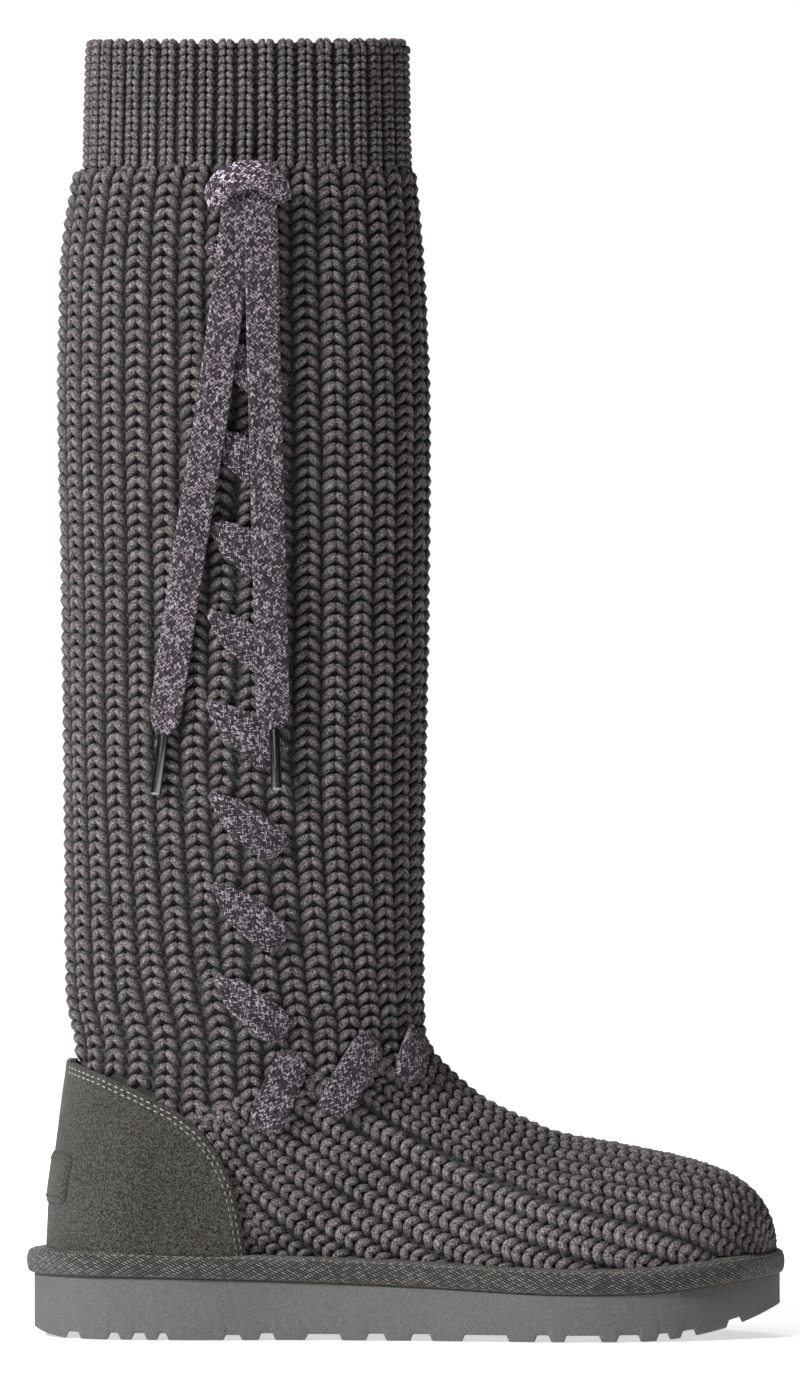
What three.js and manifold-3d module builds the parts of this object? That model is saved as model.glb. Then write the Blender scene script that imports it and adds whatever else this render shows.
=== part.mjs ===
// Knee-high knitted boot for a right foot, standing on its sole. Millimetres, +Z up, toe towards +X,
// outer side of the foot towards -Y. The origin is on the floor, under the middle of the bounding box.
import * as THREE from "three";
import { mergeVertices } from "three/addons/utils/BufferGeometryUtils.js";
import Module from "manifold-3d";

const wasm = await Module();
wasm.setup();

// Sole
const soleLength = 268;
const ballWidth = 102;
const heelHeight = 22.4; // foam under the heel
const ballHeight = 16.9; // foam under the ball of the foot
const toeTop = 22.1; // upper edge of the foam at the toe tip
const toeSpring = 10.9; // lower edge of the foam at the toe tip
const heelBevel = 3;
const grooveDepth = 2.4;
const grooveFlank = 0.9; // how much narrower a groove is at its root, each side

// Upper
const bootHeight = 464;
const instepHeight = 102; // where the leg meets the top of the foot
const levelRise = 32; // above the instep, where the sections become level
const legSetback = 75.6; // middle of the leg, from the back edge of the sole
const shaftLength = 134.4;
const shaftBreadth = 92;
const ankleBreadth = 81;
const cuffLength = 119;
const cuffBreadth = 86;
const cuffHeight = 46;
const cuffStep = 1.4; // height of the small step under the cuff
const knitWall = 4.5;
const wales = 34; // columns of the knit round the leg
const waleGroove = 1.7; // depth between two columns
const heelInset = 4.6; // upper from the edge of the foam
const sideInset = 3.6;
const toeInset = 1.4;

// Trim
const gap = 0.3; // between pieces that touch
const bindingHeight = 8.6;
const heelOverhang = 2.6; // of the binding past the edge of the foam
const toeOverhang = 1.6;
const bindingReach = 9; // inward, before the upper's form is cut from it
const insoleThickness = 6;
const counterThickness = 1.6;
const labelWidth = 44;
const labelHeight = 18;
const labelThickness = 1;
const labelCentre = 56.5; // height of the label's middle above the floor
const laceWidth = 12;
const laceThickness = 2;
const stitchPitch = 32.6; // from one side stitch to the next
const stitchRun = 21; // forward travel of a side stitch
const stitchFall = 25; // downward travel of a side stitch
const stitchCount = 9;
const lowestStitch = 129; // height of the upper end of the lowest side stitch
const laceSlack = 0.2; // extra clearance where a lace lies over another
const stitchLine = 66; // upper end of the side stitches, forward of the back edge of the sole
const agletLength = 22;
const agletDiameter = 3.8;

// Counts that set how finely curved forms are cut into faces
const outlineFaces = 60; // round the sole
const topFaces = 20; // along the top of the sole
const curveSamples = 96; // along half a section, where its length is measured
const innerPoints = 30; // round the inside of the upper
const trimPoints = 44; // round the trim
const searchSteps = 34; // across one side, where a point of the side view is looked up
const stitchSteps = 5;
const agletSides = 12;

const backEdge = -soleLength / 2;
const soleShift = (heelOverhang - toeOverhang) / 2; // puts the middle of the boot over the origin
const legCentre = backEdge + legSetback;
const levelHeight = instepHeight + levelRise;
const cuffBase = bootHeight - cuffHeight;

// Plan of the sole, from the back round the outer side. Along is a share of the sole's length, across a
// share of its half width. The list is fitted to both sizes afterwards.
const SOLE_PLAN = [
  { along: 0.0, across: 0.0 },
  { along: 0.022, across: -0.34 },
  { along: 0.082, across: -0.63 },
  { along: 0.2, across: -0.755 },
  { along: 0.36, across: -0.745 },
  { along: 0.52, across: -0.84 },
  { along: 0.68, across: -0.985 },
  { along: 0.78, across: -0.985 },
  { along: 0.875, across: -0.83 },
  { along: 0.955, across: -0.48 },
  { along: 1.0, across: 0.1 },
  { along: 0.972, across: 0.56 },
  { along: 0.91, across: 0.84 },
  { along: 0.82, across: 0.98 },
  { along: 0.73, across: 0.99 },
  { along: 0.6, across: 0.87 },
  { along: 0.44, across: 0.72 },
  { along: 0.3, across: 0.7 },
  { along: 0.17, across: 0.73 },
  { along: 0.075, across: 0.62 },
  { along: 0.02, across: 0.33 },
];

// Side view of the sole. Towards the heel, top is the share of the extra height that the heel has over
// the ball, and towards the toe the share of the toe's.
const SOLE_TOP = [
  { along: -0.05, top: 1.0 },
  { along: 0.145, top: 1.0 },
  { along: 0.325, top: 0.78 },
  { along: 0.507, top: 0.46 },
  { along: 0.627, top: 0.14 },
  { along: 0.731, top: 0.0 },
  { along: 0.832, top: 0.12 },
  { along: 0.9, top: 0.45 },
  { along: 0.945, top: 0.72 },
  { along: 1.05, top: 1.08 },
];

// Lower edge of the sole: shares of the heel's bevel behind, and of the toe's spring in front.
const HEEL_CURVE = [
  { along: 0.0, rise: 1.0 },
  { along: 0.018, rise: 0.38 },
  { along: 0.045, rise: 0.0 },
];
const TOE_CURVE = [
  { along: 0.82, rise: 0.0 },
  { along: 0.866, rise: 0.1 },
  { along: 0.906, rise: 0.27 },
  { along: 0.946, rise: 0.52 },
  { along: 1.0, rise: 1.0 },
];

// Grooves between the lugs, as shares of the sole's length.
const GROOVES = [
  { from: 0.046, to: 0.064 },
  { from: 0.102, to: 0.117 },
  { from: 0.134, to: 0.152 },
  { from: 0.168, to: 0.181 },
  { from: 0.256, to: 0.279 },
  { from: 0.303, to: 0.323 },
  { from: 0.365, to: 0.412 },
  { from: 0.446, to: 0.471 },
  { from: 0.505, to: 0.532 },
  { from: 0.574, to: 0.634 },
  { from: 0.67, to: 0.69 },
  { from: 0.709, to: 0.757 },
  { from: 0.779, to: 0.809 },
  { from: 0.832, to: 0.848 },
  { from: 0.864, to: 0.883 },
  { from: 0.926, to: 0.945 },
];

// Outer face of the binding, as shares of its height.
const BINDING_FACE = [
  { inward: 0.4, up: 1.0 },
  { inward: 0.08, up: 0.8 },
  { inward: 0.0, up: 0.43 },
  { inward: 0.1, up: 0.0 },
];

// Level sections of the cuff: front and back as shares of half the cuff's length, half of half its breadth.
const CUFF = [
  { height: 1.0, front: 0.958, back: -0.935, half: 0.955 },
  { height: 0.95, front: 1.006, back: -0.972, half: 0.985 },
  { height: 0.03, front: 1.02, back: -0.99, half: 1.0 },
];

// Level sections of the shaft, in the same way. Height is a share of the way from the level where the
// ankle begins up to the cuff.
const SHAFT = [
  { height: 1.0, front: 0.922, back: -0.914, half: 0.945 },
  { height: 0.964, front: 0.943, back: -0.952, half: 0.972 },
  { height: 0.9, front: 0.967, back: -0.991, half: 0.99 },
  { height: 0.78, front: 0.9955, back: -1.0104, half: 1.0 },
  { height: 0.45, front: 1.0, back: -0.9926, half: 0.995 },
  { height: 0.102, front: 0.973, back: -0.976, half: 0.965 },
  { height: 0.0, front: 0.973, back: -0.973, half: 0.945 },
];

// Sections that fan round the front of the ankle. Their heights are shares of the rise from the instep
// to the level sections, their lengths shares of half the shaft's length, half of the ankle's breadth.
const THROAT = [
  { front: [0.974, 0.76], back: [-0.968, 0.58], half: 1.05 },
  { front: [0.978, 0.44], back: [-0.922, 0.03], half: 1.02 },
];

// Sections round the heel. Front and back are (x, z), as shares of half the sole's length and of the
// height of the instep. Widest is where along the section it is broadest, and the powers are those of
// the rounded end at the front and the back, 2 for an ellipse.
const HEEL = [
  { front: [0.06, 1.05], back: [-0.913, 0.82], half: 1.0, widest: 0.5, frontPower: 2.0, backPower: 2.1 },
  { front: [0.0784, 1.0], back: [-0.932, 0.628], half: 0.99, widest: 0.52, frontPower: 2.0, backPower: 2.2 },
  { front: [0.102, 0.966], back: [-0.95, 0.412], half: 0.98, widest: 0.54, frontPower: 2.0, backPower: 2.35 },
  { front: [0.129, 0.931], back: [-0.938, 0.17], half: 0.965, widest: 0.56, frontPower: 2.0, backPower: 2.5 },
  { front: [0.166, 0.887], back: [-0.85, 0.03], half: 0.945, widest: 0.58, frontPower: 2.0, backPower: 2.8 },
];

// Sections along the foot, in the same way. Their breadth is the foot's where they cross the sole.
const FOOT = [
  { front: [0.216, 0.839], back: [-0.69, -0.02], widest: 0.6, frontPower: 2.0, backPower: 3.0 },
  { front: [0.283, 0.794], back: [-0.49, -0.03], widest: 0.62, frontPower: 2.0, backPower: 3.0 },
  { front: [0.373, 0.739], back: [-0.275, -0.03], widest: 0.63, frontPower: 2.0, backPower: 2.8 },
  { front: [0.582, 0.678], back: [0.155, -0.03], widest: 0.65, frontPower: 2.1, backPower: 2.6 },
  { front: [0.78, 0.617], back: [0.515, -0.03], widest: 0.66, frontPower: 2.2, backPower: 2.4 },
  { front: [0.858, 0.579], back: [0.64, -0.03], widest: 0.66, frontPower: 2.2, backPower: 2.3 },
  { front: [0.918, 0.53], back: [0.74, -0.03], widest: 0.64, frontPower: 2.2, backPower: 2.2 },
  { front: [0.962, 0.466], back: [0.81, -0.02], widest: 0.62, frontPower: 2.2, backPower: 2.2 },
  { front: [0.989, 0.39], back: [0.86, 0.0], widest: 0.6, frontPower: 2.2, backPower: 2.2 },
  { front: [0.997, 0.31], back: [0.893, 0.02], widest: 0.55, frontPower: 2.2, backPower: 2.2 },
];

// Last sections at the toe, which close the form below the top of the sole.
const TOE_END = [
  { front: [0.99, 0.225], back: [0.915, 0.045], half: 0.34 },
  { front: [0.97, 0.15], back: [0.935, 0.07], half: 0.16 },
];

// Front edge of the heel counter in the side view, from the sole up to the back of the leg: along is a
// share of half the sole's length, height a share of the instep's.
const COUNTER_EDGE = [
  { along: -0.425, height: 0.12 },
  { along: -0.43, height: 0.3 },
  { along: -0.443, height: 0.42 },
  { along: -0.463, height: 0.54 },
  { along: -0.5, height: 0.645 },
  { along: -0.548, height: 0.73 },
  { along: -0.618, height: 0.805 },
  { along: -0.72, height: 0.872 },
  { along: -0.815, height: 0.925 },
  { along: -0.91, height: 0.967 },
  { along: -1.1, height: 1.0 },
];

// Stitches of the lace over the front of the ankle, in the side view: ends as shares of half the sole's
// length and of the instep's height.
const ANKLE_STITCHES = [
  { top: [-0.305, 0.985], foot: [-0.382, 0.75] },
  { top: [-0.1, 1.045], foot: [-0.2, 0.815] },
  { top: [0.025, 1.065], foot: [0.0, 0.925] },
];

// Routes of the knot and of the two loose ends, chosen by hand: x and z in the side view, and how many
// layers of lace they lie over.
const KNOT_ROUTE = [
  { x: -69.6, z: 405.6, over: 0 },
  { x: -67.3, z: 410.4, over: 0.88 },
  { x: -63.6, z: 413.8, over: 2.32 },
  { x: -57.4, z: 415.2, over: 2.96 },
  { x: -51.2, z: 414.2, over: 2.96 },
  { x: -46.6, z: 411.2, over: 1.68 },
  { x: -43.8, z: 406.6, over: 0.08 },
];
const BACK_END_ROUTE = [
  { x: -59.8, z: 404, over: 1 },
  { x: -61.4, z: 390, over: 1 },
  { x: -63.8, z: 370, over: 1 },
  { x: -66.8, z: 348, over: 1 },
  { x: -69.8, z: 326, over: 1 },
  { x: -73.2, z: 304, over: 1 },
  { x: -76.6, z: 283, over: 1 },
  { x: -79.8, z: 262, over: 0.48 },
  { x: -82.8, z: 243, over: 0 },
  { x: -85.0, z: 228, over: 0 },
  { x: -86.6, z: 215.5, over: 0 },
];
const FRONT_END_ROUTE = [
  { x: -52.8, z: 404.5, over: 1.96 },
  { x: -52.2, z: 390, over: 1.96 },
  { x: -51.9, z: 372, over: 1.84 },
  { x: -51.4, z: 352, over: 1.2 },
  { x: -50.8, z: 330, over: 1 },
  { x: -50.2, z: 306, over: 1 },
  { x: -49.6, z: 282, over: 1 },
  { x: -49.0, z: 260, over: 1 },
  { x: -48.6, z: 240, over: 1 },
  { x: -48.2, z: 226, over: 1 },
  { x: -47.8, z: 217.5, over: 1 },
];
const BACK_AGLET = { x: -89.0, z: 193.5 };
const FRONT_AGLET = { x: -47.0, z: 195.5 };

// Looks, as plain materials
const look = (colour, roughness, metalness = 0) =>
  new THREE.MeshStandardMaterial({ color: colour, roughness, metalness });
const knitLook = look(0x55524f, 0.95);
const suedeLook = look(0x494b44, 0.95);
const foamLook = look(0x6b6a6c, 0.75);
const bindingLook = look(0x50524a, 0.85);
const woolLook = look(0x9a9792, 1);
const laceLook = look(0x6c6072, 0.9);
const metalLook = look(0x55545a, 0.3, 0.9);

// A solid from a geometry whose shared corners are merged.
function solidOf(geometry) {
  const bare = geometry.clone();
  bare.deleteAttribute("normal");
  bare.deleteAttribute("uv");
  const merged = mergeVertices(bare, 1e-3);
  return new wasm.Manifold(
    new wasm.Mesh({
      numProp: 3,
      vertProperties: new Float32Array(merged.attributes.position.array),
      triVerts: new Uint32Array(merged.index.array),
    }),
  );
}

// A named mesh from a solid.
function meshOf(solid, name, material) {
  const { vertProperties, triVerts, numProp } = solid.getMesh();
  const position = new Float32Array((vertProperties.length / numProp) * 3);
  for (let i = 0; i < position.length / 3; i++) {
    for (let k = 0; k < 3; k++) position[3 * i + k] = vertProperties[numProp * i + k];
  }
  const geometry = new THREE.BufferGeometry();
  geometry.setAttribute("position", new THREE.BufferAttribute(position, 3));
  geometry.setIndex(new THREE.BufferAttribute(new Uint32Array(triVerts), 1));
  geometry.computeVertexNormals();
  const mesh = new THREE.Mesh(geometry, material);
  mesh.name = name;
  return mesh;
}

// The geometry of a closed form through rings of equally many points, with a flat cap at each end.
function ringsGeometry(rings) {
  const count = rings[0].length;
  const points = rings.flat();
  const faces = [];
  for (let i = 0; i + 1 < rings.length; i++) {
    for (let j = 0; j < count; j++) {
      const k = (j + 1) % count;
      faces.push(i * count + j, i * count + k, (i + 1) * count + k);
      faces.push(i * count + j, (i + 1) * count + k, (i + 1) * count + j);
    }
  }
  for (const end of [0, rings.length - 1]) {
    const middle = new THREE.Vector3();
    for (const p of rings[end]) middle.addScaledVector(p, 1 / count);
    const hub = points.push(middle) - 1;
    for (let j = 0; j < count; j++) {
      const a = end * count + j;
      const b = end * count + ((j + 1) % count);
      faces.push(...(end === 0 ? [hub, b, a] : [hub, a, b]));
    }
  }
  const geometry = new THREE.BufferGeometry().setFromPoints(points);
  geometry.setIndex(faces);
  return geometry;
}

// The same, but closing on itself along the rings, as a tyre does.
function loopGeometry(rings) {
  const count = rings[0].length;
  const faces = [];
  for (let i = 0; i < rings.length; i++) {
    const next = (i + 1) % rings.length;
    for (let j = 0; j < count; j++) {
      const k = (j + 1) % count;
      faces.push(i * count + j, i * count + k, next * count + k);
      faces.push(i * count + j, next * count + k, next * count + j);
    }
  }
  const geometry = new THREE.BufferGeometry().setFromPoints(rings.flat());
  geometry.setIndex(faces);
  return geometry;
}

// A prism across the whole boot from an outline in the side view.
function prismAcross(outline) {
  const spread = ballWidth + shaftBreadth;
  const shape = new THREE.Shape(outline.map(([x, z]) => new THREE.Vector2(x, z)));
  const geometry = new THREE.ExtrudeGeometry(shape, { depth: spread, bevelEnabled: false });
  geometry.rotateX(Math.PI / 2).translate(0, spread / 2, 0);
  return solidOf(geometry);
}

// A smooth value of one column of a table at x, with the table ordered by its key.
function readTable(table, key, column, x) {
  const last = table.length - 1;
  if (x <= table[0][key]) return table[0][column];
  if (x >= table[last][key]) return table[last][column];
  const i = table.findIndex((row) => row[key] > x) - 1;
  const slope = (a, b) => (table[b][column] - table[a][column]) / (table[b][key] - table[a][key]);
  const start = slope(Math.max(i - 1, 0), i + 1);
  const end = slope(i, Math.min(i + 2, last));
  const span = table[i + 1][key] - table[i][key];
  const t = (x - table[i][key]) / span;
  return (
    table[i][column] * (2 * t ** 3 - 3 * t ** 2 + 1) +
    table[i + 1][column] * (3 * t ** 2 - 2 * t ** 3) +
    start * span * (t ** 3 - 2 * t ** 2 + t) +
    end * span * (t ** 3 - t ** 2)
  );
}

const alongSole = (x) => (x - backEdge) / soleLength;
const ballAlong = SOLE_TOP.find((row) => row.top === 0).along;

// Height of the top of the foam at x.
function soleTop(x) {
  const along = alongSole(x);
  const extra = (along < ballAlong ? heelHeight : toeTop) - ballHeight;
  return ballHeight + extra * readTable(SOLE_TOP, "along", "top", along);
}

// Plan of the sole as points, fitted to its length and width.
function solePlan() {
  const knots = SOLE_PLAN.map((row) => new THREE.Vector3(row.along, row.across / 2, 0));
  const curve = new THREE.CatmullRomCurve3(knots, true, "catmullrom", 0.5);
  const rough = curve.getSpacedPoints(outlineFaces).slice(0, outlineFaces);
  rough.forEach((p) => p.multiply(new THREE.Vector3(soleLength, ballWidth, 0)));
  const box = new THREE.Box3().setFromPoints(rough);
  const middle = box.getCenter(new THREE.Vector3());
  const size = box.getSize(new THREE.Vector3());
  return rough.map(
    (p) =>
      new THREE.Vector2(
        ((p.x - middle.x) * soleLength) / size.x,
        ((p.y - middle.y) * ballWidth) / size.y,
      ),
  );
}

// Outward unit normals of a plan that runs from the back round the outer side.
function planNormals(plan) {
  return plan.map((p, i) => {
    const before = plan[(i + plan.length - 1) % plan.length];
    const after = plan[(i + 1) % plan.length];
    return new THREE.Vector2(after.y - before.y, before.x - after.x).normalize();
  });
}

const soleOutline = solePlan();
const soleNormals = planNormals(soleOutline);

// Plan of the upper where it meets the sole.
const footprint = soleOutline.map((p, i) => {
  const along = alongSole(p.x);
  const end = along < 0.5 ? heelInset : toeInset;
  const inset = THREE.MathUtils.lerp(sideInset, end, Math.abs(2 * along - 1) ** 4);
  return p.clone().addScaledVector(soleNormals[i], -inset);
});

// Where a plan is crossed at x: its lowest and highest y.
function acrossAt(plan, x) {
  const found = [];
  plan.forEach((a, i) => {
    const b = plan[(i + 1) % plan.length];
    if (a.x <= x !== b.x <= x) found.push(a.y + ((b.y - a.y) * (x - a.x)) / (b.x - a.x));
  });
  return found.length < 2 ? null : [Math.min(...found), Math.max(...found)];
}

const levelSection = (row, length, breadth, height) => ({
  front: new THREE.Vector2(legCentre + (row.front * length) / 2, height),
  back: new THREE.Vector2(legCentre + (row.back * length) / 2, height),
  half: (row.half * breadth) / 2,
  centre: 0,
  widest: 0.5,
  frontPower: 2,
  backPower: 2,
});

// Clearance of the trim over the faces of the upper, which are finer than the trim's own.
const trimSeat = gap + 0.1;

const soleShare = ([x, z]) => new THREE.Vector2((x * soleLength) / 2, z * instepHeight);

const throatShare = ([x, z]) =>
  new THREE.Vector2(legCentre + (x * shaftLength) / 2, instepHeight + z * levelRise);

// Breadth and middle of a foot section, from the footprint where the section crosses the sole.
function fitToFoot(front, back) {
  const along = (front.y - soleTop(front.x)) / (front.y - back.y);
  const x = THREE.MathUtils.lerp(front.x, back.x, THREE.MathUtils.clamp(along, 0, 1));
  const [low, high] = acrossAt(footprint, x) ?? [0, 0];
  return { half: (high - low) / 2, centre: (high + low) / 2 };
}

// All sections of the upper's outer form, from the collar down the leg, round the heel and to the toe.
function allSections() {
  const cuff = CUFF.map((row) =>
    levelSection(row, cuffLength, cuffBreadth, cuffBase + row.height * cuffHeight),
  );
  const shaft = SHAFT.map((row) => {
    const height = levelHeight + row.height * (cuffBase - levelHeight);
    return levelSection(row, shaftLength, shaftBreadth, Math.min(height, cuffBase - cuffStep / 2));
  });
  const throat = THROAT.map((row) => ({
    ...levelSection({ ...row, front: 0, back: 0 }, shaftLength, ankleBreadth, 0),
    front: throatShare(row.front),
    back: throatShare(row.back),
  }));
  const heel = HEEL.map((row) => ({
    ...row,
    front: soleShare(row.front),
    back: soleShare(row.back),
    half: (row.half * ankleBreadth) / 2,
    centre: 0,
  }));
  const foot = FOOT.map((row) => {
    const front = soleShare(row.front);
    const back = soleShare(row.back);
    return { ...row, front, back, ...fitToFoot(front, back) };
  });
  const tip = foot[foot.length - 1];
  const toe = TOE_END.map((row) => ({
    ...tip,
    front: soleShare(row.front),
    back: soleShare(row.back),
    half: tip.half * row.half,
  }));
  return [...cuff, ...shaft, ...throat, ...heel, ...foot, ...toe];
}

const sections = allSections();

// Half of a section's curve, from its front to its back, with the length run at each point.
function halfCurve(section) {
  const depth = section.front.distanceTo(section.back);
  const curve = [];
  let run = 0;
  for (let i = 0; i <= curveSamples; i++) {
    const angle = (Math.PI * i) / curveSamples;
    const turn = Math.cos(angle);
    const power = 2 / (turn > 0 ? section.frontPower : section.backPower);
    const reach = Math.abs(turn) ** power;
    const along =
      turn > 0 ? section.widest * (1 - reach) : section.widest + (1 - section.widest) * reach;
    const across = Math.sin(angle) ** power * section.half;
    const before = curve[i - 1];
    if (before) run += Math.hypot((along - before.along) * depth, across - before.across);
    curve.push({ along, across, run });
  }
  return curve;
}

const halfCurves = sections.map(halfCurve);

// A point of the outer form on one section. Turn runs from 0 at the front, over the outer side, 0.5 at
// the back and the inner side, to 1 at the front again, in equal shares of the section's girth.
function pointOn(index, turn) {
  const wrapped = turn - Math.floor(turn);
  const side = wrapped <= 0.5 ? -1 : 1;
  const curve = halfCurves[index];
  const run = curve[curveSamples].run * (wrapped <= 0.5 ? 2 * wrapped : 2 - 2 * wrapped);
  const i = Math.max(1, curve.findIndex((c) => c.run >= run - 1e-9));
  const t = (run - curve[i - 1].run) / (curve[i].run - curve[i - 1].run);
  const along = THREE.MathUtils.lerp(curve[i - 1].along, curve[i].along, t);
  const across = THREE.MathUtils.lerp(curve[i - 1].across, curve[i].across, t);
  const spot = sections[index].front.clone().lerp(sections[index].back, along);
  return new THREE.Vector3(spot.x, sections[index].centre + side * across, spot.y);
}

// Outward normal of the outer form on one section.
function normalOn(index, turn) {
  const step = 0.004;
  const above = pointOn(Math.max(index - 1, 0), turn);
  const below = pointOn(Math.min(index + 1, sections.length - 1), turn);
  const round = pointOn(index, turn + step).sub(pointOn(index, turn - step));
  return round.cross(below.sub(above)).normalize();
}

// One ring of the form, moved off it by an offset for each turn.
const ringOn = (index, turns, offset) =>
  turns.map((turn, j) => pointOn(index, turn).addScaledVector(normalOn(index, turn), offset(j)));

const evenTurns = (count) => Array.from({ length: count }, (_, i) => i / count);

// The outer form grown or shrunk by an offset. Extra lengthens it above the collar, and drop leaves out
// its last sections at the toe.
function form(offset, extra = 0, count = trimPoints, drop = 0) {
  const turns = evenTurns(count);
  const rings = sections.slice(0, sections.length - drop).map((_, i) => ringOn(i, turns, () => offset));
  if (extra > 0) rings[0].forEach((p) => (p.z += extra));
  return solidOf(ringsGeometry(rings));
}

// The outer form with its knitted columns: three points for each, two on its face and one in the groove.
function ribbedForm() {
  const faceStart = 0.22;
  const turns = [];
  const relief = [];
  for (let i = 0; i < wales; i++) {
    for (const [phase, depth] of [
      [faceStart - 0.5, 0],
      [0.5 - faceStart, 0],
      [0.5, waleGroove],
    ]) {
      turns.push((i + phase) / wales);
      relief.push(-depth);
    }
  }
  return solidOf(ringsGeometry(sections.map((_, i) => ringOn(i, turns, (j) => relief[j]))));
}

// Stations along the sole for forms that follow its top.
function topStations() {
  const margin = 12;
  const span = soleLength + 2 * margin;
  return Array.from({ length: topFaces + 1 }, (_, i) => backEdge - margin + (span * i) / topFaces);
}

// A slab whose floor and roof follow the top of the sole.
function slabOverSole(low, high) {
  const stations = topStations();
  const floor = stations.map((x) => [x, soleTop(x) + low]);
  const roof = stations.map((x) => [x, soleTop(x) + high]).reverse();
  return prismAcross([...floor, ...roof]);
}

function makeUpper() {
  const below = -3 * heelHeight;
  const openBelow = slabOverSole(below, gap);
  const inside = form(-knitWall, cuffHeight / 4, innerPoints, TOE_END.length);
  return ribbedForm().subtract(inside).subtract(openBelow);
}

function makeOutsole() {
  const depth = 2 * (heelHeight + toeTop);
  const shape = new THREE.Shape(soleOutline);
  const block = new THREE.ExtrudeGeometry(shape, { depth, bevelEnabled: false });
  block.translate(0, 0, -depth / 2);
  const margin = 5;
  const heel = HEEL_CURVE.map((row) => [backEdge + row.along * soleLength, row.rise * heelBevel]);
  const toe = TOE_CURVE.map((row) => [backEdge + row.along * soleLength, row.rise * toeSpring]);
  const stations = topStations().filter((x) => Math.abs(x) <= soleLength / 2 + margin);
  const top = stations.map((x) => [x, soleTop(x)]).reverse();
  const last = toe[toe.length - 1];
  const side = prismAcross([
    [backEdge - margin, heelBevel],
    ...heel,
    ...toe,
    [last[0] + margin, last[1]],
    ...top,
  ]);
  let sole = solidOf(block).intersect(side);
  for (const groove of GROOVES) {
    const from = backEdge + groove.from * soleLength;
    const to = backEdge + groove.to * soleLength;
    const middle = (groove.from + groove.to) / 2;
    const lift =
      readTable(TOE_CURVE, "along", "rise", middle) * toeSpring +
      readTable(HEEL_CURVE, "along", "rise", middle) * heelBevel;
    const cutter = prismAcross([
      [from - grooveFlank, -grooveDepth],
      [to + grooveFlank, -grooveDepth],
      [to - grooveFlank, lift + grooveDepth],
      [from + grooveFlank, lift + grooveDepth],
    ]);
    sole = sole.subtract(cutter);
  }
  return sole;
}

// The tape bound round the edge of the sole, with a rounded outer face.
function makeBinding() {
  const rings = soleOutline.map((p, i) => {
    const overhang = THREE.MathUtils.lerp(heelOverhang, toeOverhang, alongSole(p.x));
    const face = BINDING_FACE.map((row) => [overhang - row.inward * bindingHeight, row.up]);
    return [[-bindingReach, 1], ...face, [-bindingReach, 0]].map(([out, up]) => {
      const spot = p.clone().addScaledVector(soleNormals[i], out);
      return new THREE.Vector3(spot.x, spot.y, soleTop(p.x) + gap + up * bindingHeight);
    });
  });
  return solidOf(loopGeometry(rings)).subtract(form(trimSeat));
}

function makeInsole() {
  return form(-knitWall - gap, 0, innerPoints, TOE_END.length).intersect(
    slabOverSole(gap, gap + insoleThickness),
  );
}

function makeCounter() {
  const edge = COUNTER_EDGE.map((row) => [(row.along * soleLength) / 2, row.height * instepHeight]);
  const back = edge[edge.length - 1][0];
  const front = edge[0][0];
  const foot = topStations()
    .filter((x) => x > back && x < front)
    .map((x) => [x, soleTop(x) + bindingHeight + 2 * gap]);
  const base = edge[0][0];
  const upward = edge.filter(([, z]) => z > soleTop(base) + bindingHeight + 2 * gap);
  const region = prismAcross([
    [back, soleTop(back) + bindingHeight + 2 * gap],
    ...foot,
    [base, soleTop(base) + bindingHeight + 2 * gap],
    ...upward,
  ]);
  return form(trimSeat + counterThickness).subtract(form(trimSeat)).intersect(region);
}

function makeLabel() {
  const reach = shaftLength;
  const block = new THREE.BoxGeometry(reach, labelWidth, labelHeight);
  block.translate(backEdge, 0, labelCentre);
  const inner = trimSeat + counterThickness + gap;
  return form(inner + labelThickness).subtract(form(inner)).intersect(solidOf(block));
}

// A point and normal of the outer form between its sections, moved off it.
function surfaceAt(place, offset) {
  const index = THREE.MathUtils.clamp(Math.floor(place.row), 0, sections.length - 2);
  const share = place.row - index;
  const normal = normalOn(index, place.turn).lerp(normalOn(index + 1, place.turn), share).normalize();
  const point = pointOn(index, place.turn).lerp(pointOn(index + 1, place.turn), share);
  return { point: point.addScaledVector(normal, offset), normal };
}

// The place of the outer form that shows at (x, z) from one side.
function placeAt(x, z, side) {
  const turnOf = (j) => (side < 0 ? j / 2 : searchSteps - j / 2) / searchSteps;
  for (let i = 0; i + 1 < sections.length; i++) {
    for (let j = 0; j < searchSteps; j++) {
      const corners = [
        { row: i, turn: turnOf(j) },
        { row: i, turn: turnOf(j + 1) },
        { row: i + 1, turn: turnOf(j + 1) },
        { row: i + 1, turn: turnOf(j) },
      ];
      for (const [a, b, c] of [
        [corners[0], corners[1], corners[2]],
        [corners[0], corners[2], corners[3]],
      ]) {
        const [p, q, r] = [a, b, c].map((place) => pointOn(place.row, place.turn));
        const area = (q.x - p.x) * (r.z - p.z) - (r.x - p.x) * (q.z - p.z);
        if (Math.abs(area) < 1e-9) continue;
        const u = ((q.x - x) * (r.z - z) - (r.x - x) * (q.z - z)) / area;
        const v = ((r.x - x) * (p.z - z) - (p.x - x) * (r.z - z)) / area;
        const w = 1 - u - v;
        if (Math.min(u, v, w) < -1e-6) continue;
        return { row: a.row * u + b.row * v + c.row * w, turn: a.turn * u + b.turn * v + c.turn * w };
      }
    }
  }
  throw new Error(`no point of the upper shows at ${x}, ${z}`);
}

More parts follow.
